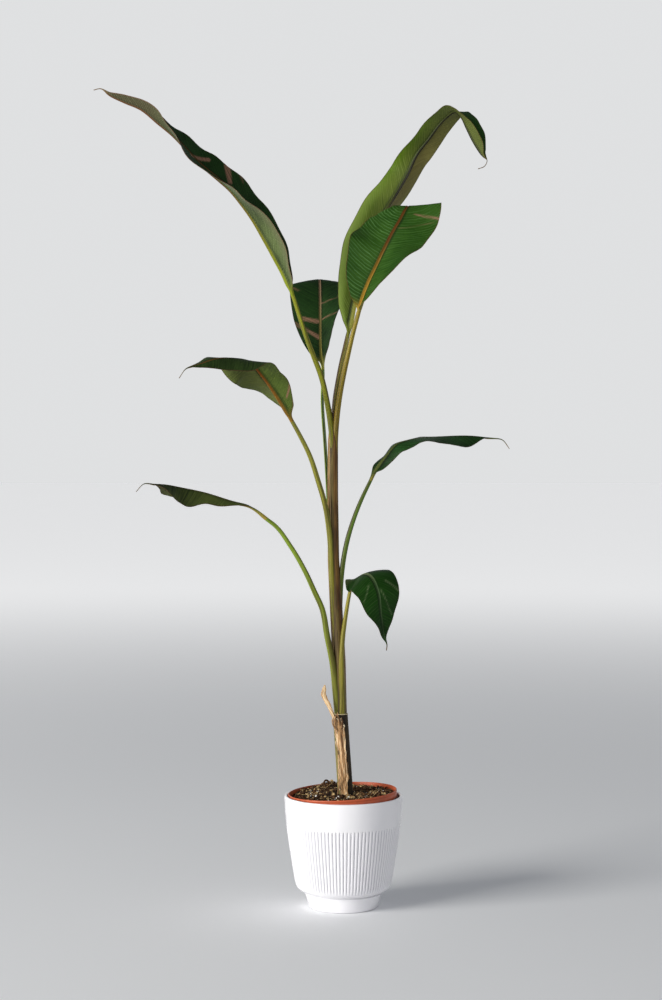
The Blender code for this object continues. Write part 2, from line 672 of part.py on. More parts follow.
def build_dry_sheath():
    """A papery strip bent round the stem's front, with the shrivelled stub grown from it."""
    bm = bmesh.new()
    rings = []
    for z, left, right, off in DRY_SHEATH:
        x, y, radius = stem_at(z)
        inner, outer = [], []
        for k in range(DRY_POINTS):
            angle = math.radians(left + (right - left) * k / (DRY_POINTS - 1))
            out = Vector((math.sin(angle), -math.cos(angle), 0))
            centre = Vector((x, y, z))
            inner.append(bm.verts.new(centre + out * (radius + off)))
            outer.append(bm.verts.new(centre + out * (radius + off + DRY_THICKNESS)))
        rings.append(inner + outer[::-1])
    skin_rings(bm, rings)
    strip = make_object("dry_sheath", bm, "dry_leaf")
    stub = bmesh.new()
    rings = []
    for x, y, z, wide, thick in DRY_STUB:
        ring = circle(stub, 1, 0, DRY_STUB_SIDES)
        for point in ring:
            point.co = Vector((x + point.co.x * wide, y + point.co.y * thick, z))
        rings.append(ring)
    skin_rings(stub, rings)
    apply_boolean(strip, "UNION", [make_object("stub", stub, "dry_leaf")])


def main():
    clear_scene()
    build_cachepot()
    build_nursery_pot()
    build_soil()
    build_pseudostem()
    build_dry_sheath()
    for name, leaf in LEAVES.items():
        build_stalk(name, leaf)
        build_blade(name, leaf)


main()
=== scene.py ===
"""The looks of a potted banana plant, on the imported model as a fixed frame.

Blender 4.5, metres, +Z up. The origin is the middle of the cachepot's underside and -Y is the
front. Sizes in this file are millimetres, turned to metres as each mesh is made.
"""

import math
import random

import bmesh
import bpy
import numpy as np
from mathutils import Euler, Matrix, Vector, noise


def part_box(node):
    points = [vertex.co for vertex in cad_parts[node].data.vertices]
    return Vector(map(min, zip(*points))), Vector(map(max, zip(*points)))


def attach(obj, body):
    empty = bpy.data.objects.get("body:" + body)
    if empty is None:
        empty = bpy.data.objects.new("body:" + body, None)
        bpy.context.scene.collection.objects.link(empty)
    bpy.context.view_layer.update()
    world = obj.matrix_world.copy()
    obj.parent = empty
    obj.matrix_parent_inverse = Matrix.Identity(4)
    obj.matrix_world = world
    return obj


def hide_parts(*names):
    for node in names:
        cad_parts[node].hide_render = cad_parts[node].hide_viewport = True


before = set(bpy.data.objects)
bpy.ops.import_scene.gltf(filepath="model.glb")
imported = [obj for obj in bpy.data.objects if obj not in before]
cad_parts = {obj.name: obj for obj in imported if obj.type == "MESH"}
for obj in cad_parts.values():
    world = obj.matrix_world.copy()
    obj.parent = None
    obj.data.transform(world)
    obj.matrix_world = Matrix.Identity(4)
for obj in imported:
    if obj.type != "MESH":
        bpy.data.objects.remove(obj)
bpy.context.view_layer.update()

MM = 0.001
BODY = "root"

# The pot's outside comes from its solid's box
POT_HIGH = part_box("cachepot")[1]
POT_HEIGHT = POT_HIGH[2] / MM
POT_RIM_RADIUS = POT_HIGH[0] / MM
POT_WALL = 4.6
# The body's outside above the foot, slightly bowed: height and radius
BODY_OUTLINE = ((24.6, 61.6), (26.2, 65.0), (28.6, 69.0), (31.6, 72.2), (35.6, 74.3), (42, 75.9),
                (50, 77.4), (66, 80.0), (85, 83.0), (104, 85.9), (123, 88.4), (141, 90.3),
                (158, 91.7), (171.5, POT_RIM_RADIUS))
FOOT_TOP_RADIUS = 60.8
FOOT_TOP_Z = 24.0
FOOT_RADIUS = 54.0
# A narrow neck under the body, seen as a dark line
NECK_DEPTH = 2.2
LEDGE_Z = 31.0
INNER_LOW_Z = 37.5
RIB_COUNT = 96
RIB_POINTS = 10
RIB_DEPTH = 1.6
# How narrow the grooves between the ribs are: a power of the share of the way to the next rib
RIB_SHARPNESS = 3.2
RIB_LOW_Z = 30.0
RIB_TOP_Z = 131.5
# The heights over which the ribs are rounded off at their tops and run out at their feet
RIB_ROUND = 3.0
RIB_RUN_OUT = 8.0

# Nursery pot, in its own upright frame before it is tilted
NURSERY_HEIGHT = 146.0
NURSERY_LOW_RADIUS = 60.0
NURSERY_HIGH_RADIUS = 80.4
NURSERY_RIM_RADIUS = 84.8
NURSERY_RIM_DEPTH = 12.0
NURSERY_WALL = 1.5
NURSERY_TILT = 2.8
NURSERY_BASE = (5.6, 0.0, 34.3)
NURSERY_SIDES = 128
DRAIN_HOLES = 6
DRAIN_RADIUS = 5.0
DRAIN_CIRCLE_RADIUS = 38.0

# Soil, in the nursery pot's frame. Heaps: x, y, height and spread
SOIL_LEVEL = 139.0
SOIL_SIDES = 160
SOIL_RINGS = 44
SOIL_HEAPS = ((-26, 2, 6.5, 17), (-24, 62, 7.0, 12), (-52, 40, 4.0, 16), (22, 52, 3.0, 16),
              (44, -20, 1.5, 20), (-8, 64, 6.0, 12))
# The largest white grains on the soil: x and y in the nursery pot, and size
PERLITE = (
    (-8, -28, 3.0), (9, -24, 2.0), (-41, -19, 1.8), (-50, -33, 1.7), (35, -40, 1.8),
    (57, 38, 2.0), (12, 42, 1.6), (19, 15, 2.3), (36, -32, 1.8), (-39, 9, 1.9), (44, 9, 1.8),
    (-22, -48, 1.7), (-12, -38, 1.4), (24, -50, 1.5), (-64, 30, 1.5), (64, 12, 1.4),
)
# A curled husk that stands on the heap at the back: place, radius and half thickness
CURLED_HUSK = ((-25.0, 60.0, 2.6), 4.0, 1.5)
# Crumbs of soil: their width and height
SOIL_CRUMBS = ((7.7, 1.6), (4.2, 1.5), (2.1, 0.8))

# Pseudostem core: x, y, z and radius
STEM_CORE = (
    (5.0, 0.0, 122.0, 12.2),
    (4.4, 0.0, 150.0, 11.9),
    (3.4, 0.0, 184.0, 11.4),
    (-0.5, 0.0, 240.0, 11.2),
    (-4.3, 0.0, 299.0, 11.1),
    (-5.0, 0.0, 303.0, 9.4),
    (-7.0, 0.0, 385.0, 9.4),
    (-12.0, 0.0, 478.0, 8.8),
    (-15.6, 0.0, 541.0, 7.9),
    (-16.7, 0.0, 646.0, 7.3),
    (-16.4, 0.0, 727.0, 6.8),
    (-16.0, 0.0, 775.0, 3.0),
)
# The core shows above the old sheath, which is full width up to a height and ends in a rim:
# height from its top, and what it adds to the radius
CORE_FROM = 285.0
CORE_FREE = 303.0
OLD_SHEATH_FULL = 299.0
OLD_SHEATH_TOP = 301.5
OLD_SHEATH_RIM = ((-0.9, 0.05), (-0.7, 0.1), (0, 0.1), (0.3, -0.35), (-0.8, -0.75), (-4, -1.2))
STEM_SIDES = 48
STEM_STEP = 5.0
STALK_SIDES = 28
STALK_STEP = 4.0
STALK_CHANNEL = 0.38
CHANNEL_HALF_ANGLE = 36.0

# Sheath margins that show on the stem: lowest and highest z, sideways angles of the left and
# right margin at each end, how far it stands off the core, and its finish. Those on the stem's
# left are a lighter tan and those on its right a darker brown, partly painted light and shade.
WRAPS = (
    (303, 480, (12, 150), (30, 120), 0.5, 4),
    (380, 545, (-120, -52), (-100, -38), 0.5, 2),
    (465, 772, (14, 140), (4, 110), 0.7, 4),
    (540, 776, (-140, -12), (-95, -50), 0.5, 2),
    # Not a margin: the old sheath's left side, painted lighter olive as painted light where the
    # window falls
    (150, 297, (-125, -38), (-130, -46), 0.6, 3),
)

# Dry sheath on the stem's front: height, sideways angle of its left and right edge, and how far
# it stands off the stem
DRY_SHEATH = (
    (173.0, -34, 2, 0.9),
    (181.0, -41, 8, 0.4),
    (205.0, -46, 22, 0.4),
    (240.0, -33, 23, 0.5),
    (270.0, -56, 26, 0.6),
    (288.0, -56, 15, 1.0),
    (296.0, -46, 6, 1.6),
)
DRY_THICKNESS = 1.0
DRY_RINGS = 48
# Shrivelled stub that grows from the sheath's top: x, y, z, half width, half thickness, turn
DRY_STUB = (
    (-9.5, -11.2, 272.0, 2.0, 0.8, 20),
    (-11.8, -11.6, 281.0, 2.4, 0.9, 10),
    (-13.4, -12.0, 291.0, 2.6, 1.1, 0),
    (-16.5, -13.5, 301.0, 2.9, 1.1, -15),
    (-22.5, -15.0, 315.0, 3.8, 1.3, -20),
    (-28.0, -16.3, 326.0, 4.4, 1.3, -10),
    (-31.2, -16.6, 334.0, 3.9, 1.0, 5),
    (-30.2, -16.4, 341.0, 3.2, 0.9, 10),
    (-29.0, -16.0, 348.0, 0.9, 0.6, 20),
)
STUB_RINGS = 36
STUB_SIDES = 16
# Torn strands at the dry sheath's top and foot: points, and half width at the first one
DRY_STRANDS = (
    (((-12.5, -12.6, 280), (-13.5, -14.6, 290), (-12.5, -15.2, 297), (-10.5, -14.5, 303)), 1.5),
    (((-6.0, -13.4, 284), (-6.5, -14.8, 293), (-8.5, -15.2, 299), (-9.5, -14.0, 305)), 1.6),
    (((-10.0, -13.4, 276), (-15.0, -14.4, 283), (-17.5, -14.2, 292), (-15.0, -13.6, 299)), 1.2),
    (((-2.0, -13.2, 281), (-1.5, -13.8, 290), (-3.5, -13.6, 297)), 1.3),
    (((-3.5, -12.6, 200), (-6.5, -13.8, 190), (-8.5, -15.0, 181), (-9.5, -16.5, 175)), 1.7),
    (((3.5, -13.2, 198), (4.5, -14.0, 187), (6.5, -15.5, 178), (7.0, -17.0, 173)), 1.5),
)
STRAND_RINGS = 14
STRAND_SIDES = 8
STRAND_HALF_THICKNESS = 0.45

BLADE_STEP = 2.2
BLADE_THICKNESS = 0.9
MARGIN_THICKNESS = 0.55
LEAST_HALF_WIDTH = 0.6
MARGIN = 1.2
# The midrib's shares of the stalk's radius, as in the solid, and the places of its own points
RIB_WIDTH_SHARE = 0.3
RIB_TAPER = 0.7
RIB_RIDGE = 1.7
RIB_CHANNEL = 0.4
RIB_PLACES = (0, 0.3, 0.55, 0.8, 1.0, 1.2, 1.5)
HALF_STEPS = 14
# The blade grows out of the stalk over this length
JOIN_LENGTH = 26.0
# Side veins bend towards the tip near the margin
VEIN_BEND = 0.25
PLEAT_WIDTH = 11.0
PLEAT_HEIGHT = 0.22
RIPPLE_WIDTH = 26.0
RIPPLE_HEIGHT = 1.1
# One unit of a leaf's UV map
UV_UNIT = 100.0

# Each leaf, as in the solids. "stalk" is its route from inside the stem to the blade as x, y, z,
# and "free_from" the point where it parts from the stem. "radius" is the stalk's at its foot,
# where it parts and at the blade. "midrib" goes on to the tip. "shape" holds, along the blade:
# fraction of its length, half width, turn of the upper side about the midrib, and how steeply
# both halves fold up from flat. "curl" bends each half on towards its margin. Angles are in
# degrees.
LEAVES = {
    "low_left": {
        "stalk": ((-6, -1, 268), (-11, -4, 328), (-17, -7, 383), (-25, -9, 423), (-34, -12, 469),
                  (-44, -14, 491), (-59, -17, 524), (-82, -21, 564), (-105, -24, 595),
                  (-119, -26, 606)),
        "free_from": 4,
        "radius": (6.0, 4.5, 3.2),
        "midrib": ((-147, -30, 627), (-176, -33, 636), (-211, -38, 647), (-247, -50, 655),
                   (-272, -70, 660), (-287, -82, 661), (-302, -86, 661), (-314, -87, 649)),
        "shape": ((0, 3.4, 0, 50), (0.13, 5, -5, 10), (0.25, 12, -5, -32), (0.46, 23, -10, -42),
                  (0.62, 31, -12, -44), (0.72, 25, -6, -38), (0.79, 11, 0, -30),
                  (0.87, 3.5, 0, -20), (0.92, 1.2, 0, 0), (1, 0.6, 0, 0)),
        "curl": -10,
        "wave": (1.2, 5),
    },
    "low_right": {
        "stalk": ((-4, -3, 268), (-2, -6, 325), (-3, -9, 389), (-1, -10, 422), (3, -14, 452),
                  (8, -19, 483), (12, -23, 502)),
        "free_from": 4,
        "radius": (6.2, 3.2, 2.6),
        "midrib": ((21, -36, 516), (34, -58, 523), (44, -80, 517), (52, -95, 498),
                   (56, -103, 463), (61, -104, 430), (65, -102, 418), (64, -101, 410)),
        "shape": ((0, 3, 0, -20), (0.05, 26, -14, 12), (0.1, 33, 10, -4), (0.15, 36, 20, -8),
                  (0.24, 37, 21, -7), (0.37, 38, 15, -5), (0.5, 35, 10, 2), (0.68, 25, -5, 10),
                  (0.84, 8, -10, 25), (0.92, 1.6, 0, 0), (1, 0.6, 0, 0)),
        "curl": -20,
        "wave": (1.2, 4),
    },
    "mid_left": {
        "stalk": ((-13, -2, 416), (-18, -5, 518), (-22, -8, 584), (-28, -12, 624),
                  (-39, -20, 663), (-52, -33, 703), (-68, -48, 736), (-79, -58, 756)),
        "free_from": 4,
        "radius": (5.0, 3.9, 3.0),
        "midrib": ((-92, -72, 779), (-105, -84, 800), (-122, -98, 824), (-141, -118, 844),
                   (-166, -142, 849), (-190, -160, 846), (-212, -171, 838), (-232, -175, 831),
                   (-242, -176, 817)),
        "shape": ((0, 3.4, 5, 40), (0.12, 18, 8, 27), (0.23, 29, 13, 16), (0.35, 37, 22, -8),
                  (0.49, 40, 32, -32), (0.58, 36, 12, -38), (0.68, 26, -20, -25),
                  (0.76, 19, -30, -10), (0.86, 8, -20, -10), (0.93, 1.4, 0, 0), (1, 0.6, 0, 0)),
        "curl": -12,
        "wave": (1.4, 5),
    },
    "mid_right": {
        "stalk": ((-8, 1, 401), (-6, 1, 463), (-3, 0, 518), (0, 0, 542), (6, 1, 572),
                  (15, 2, 602), (28, 5, 635), (42, 8, 664)),
        "free_from": 4,
        "radius": (4.4, 3.9, 2.8),
        "midrib": ((52, 11, 684), (66, 14, 703), (82, 17, 721), (104, 20, 728), (153, 26, 733),
                   (205, 32, 734), (230, 34, 731), (250, 35, 728), (261, 35, 714)),
        "shape": ((0, 3, 10, 30), (0.09, 10, 38, -8), (0.18, 16, 20, -20), (0.27, 23, 14, -17),
                  (0.37, 29, 3, -5), (0.55, 33, 3, -6), (0.7, 30, 8, -20), (0.76, 18, 8, -20),
                  (0.82, 6, 4, -12), (0.91, 1.6, 0, 0), (1, 0.6, 0, 0)),
        "curl": -8,
        "wave": (1.6, 5),
    },
    "back": {
        "stalk": ((-19, 4, 541), (-23, 7, 619), (-26, 10, 679), (-29, 15, 726), (-33, 27, 790),
                  (-32, 39, 838)),
        "free_from": 3,
        "radius": (3.0, 2.7, 2.5),
        "midrib": ((-35, 50, 870), (-36, 72, 918), (-37, 97, 960), (-38, 122, 986),
                   (-42, 155, 983), (-46, 182, 955), (-49, 198, 919), (-51, 204, 890)),
        "shape": ((0, 3, 0, 20), (0.05, 10, -30, 34), (0.11, 22, -34, 34), (0.28, 42, -32, 26),
                  (0.44, 48, -12, 10), (0.55, 48, -5, -3), (0.7, 40, 0, -15), (0.88, 16, 0, -10),
                  (0.95, 1.4, 0, 0), (1, 0.6, 0, 0)),
        "curl": -10,
        "wave": (1.4, 5),
    },
    "top_left": {
        "stalk": ((-16, -2, 681), (-19, -3, 743), (-26, -6, 789), (-35, -10, 827),
                  (-46, -14, 856), (-57, -18, 885), (-68, -22, 918), (-78, -27, 949)),
        "free_from": 3,
        "radius": (4.6, 4.2, 3.0),
        "midrib": ((-90, -31, 980), (-104, -35, 1006), (-122, -41, 1038), (-138, -46, 1065),
                   (-155, -50, 1088), (-172, -53, 1108), (-193, -56, 1126), (-217, -58, 1146),
                   (-238, -59, 1168), (-259, -59, 1190), (-282, -57, 1209), (-308, -55, 1230),
                   (-333, -52, 1241), (-354, -50, 1251), (-371, -48, 1262), (-381, -47, 1260)),
        "shape": ((0, 3.4, -15, 40), (0.07, 16, -26, 38), (0.14, 28, -27, 45),
                  (0.22, 34, -27, 46), (0.29, 36, -30, 35), (0.37, 37, -37, 24),
                  (0.47, 36, -43, 20), (0.55, 33, -48, 13), (0.62, 28, -42, 12),
                  (0.69, 23, -30, 18), (0.76, 19, -16, 36), (0.88, 11.5, -11, 50),
                  (0.93, 6, -10, 45), (0.965, 1.4, 0, 10), (1, 0.6, 0, 0)),
        "curl": 5,
        "wave": (1.6, 8),
    },
    "top_right": {
        "stalk": ((-15, 3, 681), (-15, 5, 743), (-13, 8, 790), (-8, 11, 821), (-3, 15, 848),
                  (2, 18, 870), (6, 20, 888)),
        "free_from": 3,
        "radius": (4.0, 3.9, 3.2),
        "midrib": ((12, 23, 913), (17, 27, 939), (25, 32, 969), (37, 38, 1013), (53, 44, 1058),
                   (66, 46, 1086), (84, 46, 1116), (101, 42, 1145), (115, 36, 1175),
                   (134, 26, 1199), (148, 15, 1217), (161, 2, 1229), (172, -12, 1234),
                   (181, -24, 1224), (189, -32, 1205), (199, -38, 1183), (210, -41, 1165),
                   (219, -43, 1153), (215, -44, 1145), (205, -43, 1141)),
        "shape": ((0, 4, -60, 45), (0.05, 14, -70, 46), (0.09, 24, -74, 45), (0.16, 34, -74, 45),
                  (0.25, 42, -74, 44), (0.34, 41, -76, 42), (0.46, 33, -86, 32),
                  (0.53, 28, -90, 25), (0.6, 25, -82, -3), (0.7, 23.5, -77, -1),
                  (0.77, 22.5, -70, 5), (0.81, 22, -75, 22), (0.85, 21, -74, 54),
                  (0.89, 20, -76, 60), (0.93, 10, -80, 60), (0.955, 1.4, -80, 20),
                  (1, 0.6, -80, 0)),
        "curl": 5,
        "wave": (1.6, 8),
    },
    "front_right": {
        "stalk": ((-14, -1, 681), (-12, -3, 743), (-7, -8, 789), (0, -12, 828), (7, -15, 860),
                  (14.5, -18, 892), (22, -21, 920)),
        "free_from": 3,
        "radius": (4.8, 4.1, 3.4),
        "midrib": ((28, -23, 941), (37, -26, 966), (49, -27, 992), (61, -26, 1018),
                   (75, -21, 1047), (87, -14, 1068), (96, -3, 1085), (101, 10, 1091),
                   (104, 22, 1085), (105, 28, 1068), (104, 29, 1045), (101, 26, 1027)),
        "shape": ((0, 4, 60, 40), (0.078, 18, 70, 36), (0.167, 34, 75, 31), (0.28, 48, 78, 27),
                  (0.38, 55, 83, 20), (0.49, 57, 80, -6), (0.58, 57, 82, -13),
                  (0.66, 57, 82, -10), (0.73, 53, 75, 1), (0.82, 36, 64, -8), (0.91, 18, 64, -5),
                  (0.96, 1.6, 64, 0), (1, 0.6, 64, 0)),
        "curl": 5,
        "wave": (1.8, 6),
    },
}
# The solid's rings from one point of a leaf's route to the next
SOLID_RINGS_PER_STEP = 2

# Each leaf's looks, its colours as sRGB. "upper" is the blade's dark and light green above.
# "under" is that below on the left and on the right half; on top_right these halves are
# painted light and shade. "glow" is painted light shining through the blade towards the
# margins there, "near" painted light at the margin low on the blade, and "far" painted shade,
# with some real browning, near the tip. "veins" are its pale veins above and below, and
# "margin" its thin edge. "rib" is the midrib above at its foot and tip, and below at its foot
# and tip. "stalk" is the stalk at its foot, at the blade and in its channel. Side veins lean
# towards the tip by "lean", and "lines" is how strongly they show, on the left and right half.
# "trim" narrows the left half: share of the length and factor. "streaks" are red-brown flushes,
# and on low_right pale painted sheen: share of the length and of the half width at both ends,
# half width in millimetres there, and strength above and below.
LEAF_LOOKS = {
    "low_left": {
        "upper": ("#1b2610", "#465024"), "under": (("#3c4824", "#586330"),) * 2,
        "glow": ("#5a6530",) * 2, "near": "#5a6530", "far": "#4e4c2c",
        "veins": ("#4a5530", "#8a9455"),
        "rib": ("#5c5028", "#4a4020", "#8a7a34", "#6b5428"), "margin": "#4a2e22",
        "stalk": ("#6e6a20", "#708a26", "#3c3c12"), "lean": (0.3, 0.3), "lines": (0.5, 0.5),
    },
    "low_right": {
        "upper": ("#0a2404", "#153a08"), "under": (("#3f4d28", "#5f6e38"),) * 2,
        "glow": ("#5f6e38",) * 2, "near": "#5f6e38", "far": "#5f6e38",
        "veins": ("#4c5e3a", "#808c50"),
        "rib": ("#6c7450", "#34482a", "#8a8440", "#7c6a34"), "margin": "#3a2e1c",
        "stalk": ("#78721f", "#8e8636", "#3c3a12"), "lean": (0.5, 0.5), "lines": (0.25, 0.35),
        # Its streaks are pale: painted sheen on the upper face
        "flush": "#7a8a64",
        "streaks": ((0.43, -0.45, 0.523, -0.95, 0.9, 0.9, 0.65, 0.0),
                    (0.605, 0.85, 0.442, 0.3, 0.3, 0.5, 0.6, 0.0),
                    (0.5, -0.1, 0.709, -0.8, 0.5, 0.3, 0.6, 0.0)),
    },
    "mid_left": {
        "upper": ("#122009", "#2a3c18"), "under": (("#35451a", "#56682c"), ("#454c28", "#5c6434")),
        "glow": ("#4c6020", "#4c5828"), "near": "#4c5828", "far": "#4c5028",
        "veins": ("#465030", "#6c7438"),
        "rib": ("#5a4420", "#4a3818", "#8a6a28", "#7a4010"), "margin": "#4a2e22",
        "stalk": ("#74701e", "#858433", "#3c300f"), "lean": (0.5, 0.5), "lines": (0.3, 0.7),
        "streaks": ((0.16, -0.55, 0.235, -1.0, 1.0, 1.4, 0, 1.0),
                    (0.05, -1.0, 0.13, -1.0, 1.2, 0.8, 0, 0.9)),
    },
    "mid_right": {
        "upper": ("#0d2408", "#1e401a"), "under": (("#3a4820", "#50602a"),) * 2,
        "glow": ("#50602a",) * 2, "near": "#50602a", "far": "#50602a",
        "veins": ("#304420", "#66743c"),
        "rib": ("#4c5428", "#3c4420", "#7c7430", "#6b5428"), "margin": "#3a2e1c",
        "stalk": ("#5a6c20", "#50701f", "#2c3c10"), "lean": (0.9, 0.9), "lines": (0.5, 0.5),
    },
    "back": {
        "upper": ("#0d200b", "#1a3412"), "under": (("#46562a", "#617038"),) * 2,
        "glow": ("#617038",) * 2, "near": "#617038", "far": "#617038",
        "veins": ("#2a3a1c", "#78864a"),
        "rib": ("#6c6a30", "#6c5844", "#8a9030", "#7c6a34"), "margin": "#3a2a22",
        "stalk": ("#4f7a1c", "#7c9a2c", "#2c4a12"), "lean": (0.45, 0.45), "lines": (0.5, 0.8),
        "streaks": ((0.289, -0.7, 0.268, -0.12, 3.2, 3.6, 0.8, 0.3),
                    (0.21, -0.5, 0.176, -0.08, 2.0, 3.4, 0.75, 0.3),
                    (0.258, -1.0, 0.215, -0.55, 4.0, 3.0, 0.4, 0.2),
                    (0.275, 0.14, 0.268, 0.93, 0.8, 0.6, 0.9, 0.0),
                    (0.373, 0.06, 0.385, 0.7, 0.7, 0.5, 0.7, 0.0),
                    (0.479, -0.9, 0.455, -0.7, 1.6, 1.2, 0.5, 0.0)),
    },
    "top_left": {
        "upper": ("#0c2206", "#1c3c12"), "under": (("#303b1f", "#536036"), ("#2a371b", "#48552f")),
        # Its darker brown far end below is painted shade with some real browning
        "glow": ("#586242", "#4c5638"), "near": "#5e5e42", "far": "#403c28",
        "veins": ("#284020", "#84926a"),
        "rib": ("#5c4a28", "#4a3818", "#76801e", "#54381e"), "margin": "#6a4c3c",
        "stalk": ("#6c6c12", "#848a18", "#4a3c0c"), "lean": (1.2, 1.2), "lines": (0.35, 0.35),
        "streaks": ((0.587, -0.15, 0.539, 0.54, 3.2, 3.6, 0.95, 0.1),
                    (0.474, 0.95, 0.434, 0.3, 5.5, 3.5, 0.9, 0.1),
                    (0.425, 1.0, 0.405, 0.8, 1.5, 1.0, 0.5, 0.0)),
    },
    "top_right": {
        # Below, its left half is painted lighter and yellower and its right half darker, as painted
        # light and shade; its glow and its near margin are painted light shining through the blade
        "upper": ("#13300b", "#264818"), "under": (("#625c2f", "#78723f"), ("#3e4c16", "#586624")),
        "glow": ("#6c6838", "#4c6c04"), "near": "#84984a", "far": "#4c5426",
        "veins": ("#3c5028", "#868c58"),
        "rib": ("#4a4426", "#4a4426", "#7a7a30", "#1c1c0e"), "margin": "#4a3a20",
        "stalk": ("#6c6420", "#8c8840", "#3c2c0c"), "lean": (1.1, 1.1), "lines": (0.2, 0.3),
    },
    "front_right": {
        "upper": ("#183806", "#2c4c14"), "under": (("#4c5e2c", "#6a7a3c"),) * 2,
        "glow": ("#6a7a3c",) * 2, "near": "#6a7a3c", "far": "#6a7a3c",
        "veins": ("#547a48", "#828f50"),
        "rib": ("#aa8834", "#50300f", "#8c7a30", "#7c5228"), "margin": "#5a3424",
        "stalk": ("#7a6614", "#8d7d24", "#4c300c"), "lean": (0.08, 0.36), "lines": (0.75, 0.35),
        "trim": ((0.5, 1), (0.56, 0.93), (0.62, 0.78), (0.68, 0.5), (0.75, 0.3), (1, 0.3)),
        "streaks": ((0.656, 0.3, 0.664, 1.0, 0.9, 0.9, 0.95, 0.3),
                    (0.544, 0.12, 0.64, 0.85, 0.3, 0.5, 0.35, 0.0)),
    },
}
# What a leaf's looks are where it has none of its own, with a red-brown flush as the streaks'
# colour
PLAIN_LOOKS = {"trim": ((0, 1), (1, 1)), "streaks": (), "flush": "#8a6452"}
TIP_COLOUR = "#6a5434"
# The colour of the painted shade in the valley beside the midrib
PAINTED_VALLEY_SHADE = "#0c1206"
# What a blade's mesh tells its material: its upper face, midrib, edge, streaks (painted sheen on
# low_right), tip, share of the length and of the width, and the painted shade in the valleys
# beside the midrib
BLADE_MARKS = ("upper", "rib", "edge", "flush", "tip", "reach", "outer", "valley")

# The studio, in metres and watts. The floor glows from a distance on, up to a strength
FLOOR_RADIUS = 40.0
FLOOR_GLOW_FROM = 1.0
FLOOR_GLOW_FULL = 7.5
FLOOR_GLOW = 0.535
SKY_STRENGTH = 1.15
WINDOW_PLACE = (-5.6, -3.8, 2.1)
WINDOW_AIM = (0, 0, 0.65)
WINDOW_SIZE = 3.6
WINDOW_POWER = 560.0
WINDOW_COLOUR = "#fffdf8"
# The camera, in millimetres and degrees
CAMERA_PLACE = (-19.4, -3108.0, 712.0)
CAMERA_TILT = math.degrees(math.atan(50 / 2000))
CAMERA_LENS = 72
CAMERA_SENSOR = 36


def linear(code):
    """An sRGB hex colour as linear red, green, blue and alpha."""
    parts = [int(code[k:k + 2], 16) / 255 for k in (1, 3, 5)]
    return (*((c / 12.92 if c <= 0.04045 else ((c + 0.055) / 1.055) ** 2.4) for c in parts), 1)


def add(tree, kind, inputs=(), out=0, stops=(), **settings):
    """Adds a node and gives back one of its outputs. Inputs come by name or in order: a socket is
    linked, a hex colour is turned to linear, and any other value is set."""
    made = tree.nodes.new("ShaderNode" + kind)
    for name, value in settings.items():
        setattr(made, name, value)
    for name, value in (inputs if isinstance(inputs, dict) else dict(enumerate(inputs))).items():
        if isinstance(value, bpy.types.NodeSocket):
            tree.links.new(value, made.inputs[name])
        else:
            made.inputs[name].default_value = linear(value) if isinstance(value, str) else value
    for k, (position, code) in enumerate(stops):
        ramp = made.color_ramp.elements
        stop = ramp[k] if k < 2 else ramp.new(position)
        stop.position = position
        stop.color = linear(code)
    return made.outputs[out]


def start_material(name, values):
    """A material, its node tree and its shader, with values that are the same all over."""
    material = bpy.data.materials.new(name)
    material.use_nodes = True
    shader = material.node_tree.nodes["Principled BSDF"]
    for socket, value in values.items():
        shader.inputs[socket].default_value = value
    return material, material.node_tree, shader


def link_surface(tree, shader, colour, coats, roughness, height, distance, strength=0.6):
    """Lays coats of colour over a colour, each by its share, and links the result, a roughness and
    a bump of a height in millimetres to the shader."""
    for share, coat in coats:
        colour = add(tree, "Mix", {0: share, 6: colour, 7: coat}, 2, data_type="RGBA")
    bump = add(tree, "Bump", {"Height": height, "Distance": distance * MM, "Strength": strength})
    for socket, value in (("Base Color", colour), ("Roughness", roughness), ("Normal", bump)):
        tree.links.new(value, shader.inputs[socket])


def white_glaze():
    """Glazed stoneware, dipped and fired: a glassy white skin, greyed in the grooves as painted
    shade.
    """
    material, tree, shader = start_material(
        "white glazed stoneware", {"IOR": 1.5, "Coat Weight": 0.4, "Coat Roughness": 0.08})
    place = add(tree, "TexCoord", out="Object")
    cloud = add(tree, "TexNoise", {"Vector": place, "Scale": 18, "Detail": 3}, "Fac")
    skin = add(tree, "TexNoise", {"Vector": place, "Scale": 260, "Detail": 2}, "Fac")
    groove = add(tree, "Attribute", out="Fac", attribute_name="groove")
    # Painted shade: the white is greyed where the grooves between the ribs lie in shade
    thin = add(tree, "Math", (groove, 0.55), operation="MULTIPLY")
    rough = add(tree, "MapRange", {0: cloud, 3: 0.14, 4: 0.24})
    link_surface(tree, shader, "#f3f2f5", ((cloud, "#e9e8ed"), (thin, "#b9b8c2")), rough, skin,
                 0.12, 0.25)
    return material


def moulded_terracotta():
    """Injection-moulded polypropylene in terracotta: satin, with dust and soil rubbed on it."""
    material, tree, shader = start_material("terracotta polypropylene", {"IOR": 1.49})
    place = add(tree, "TexCoord", out="Object")
    cloud = add(tree, "TexNoise", {"Vector": place, "Scale": 22, "Detail": 4}, "Fac")
    dust = add(tree, "TexNoise", {"Vector": place, "Scale": 90, "Detail": 6}, "Fac")
    rubbed = add(tree, "MapRange", (dust, 0.5, 0.75, 0.0, 0.5))
    rough = add(tree, "MapRange", {0: dust, 3: 0.38, 4: 0.6})
    link_surface(tree, shader, "#c45a30", ((cloud, "#a84a28"), (rubbed, "#8a4a33")), rough, dust,
                 0.15, 0.3)
    return material


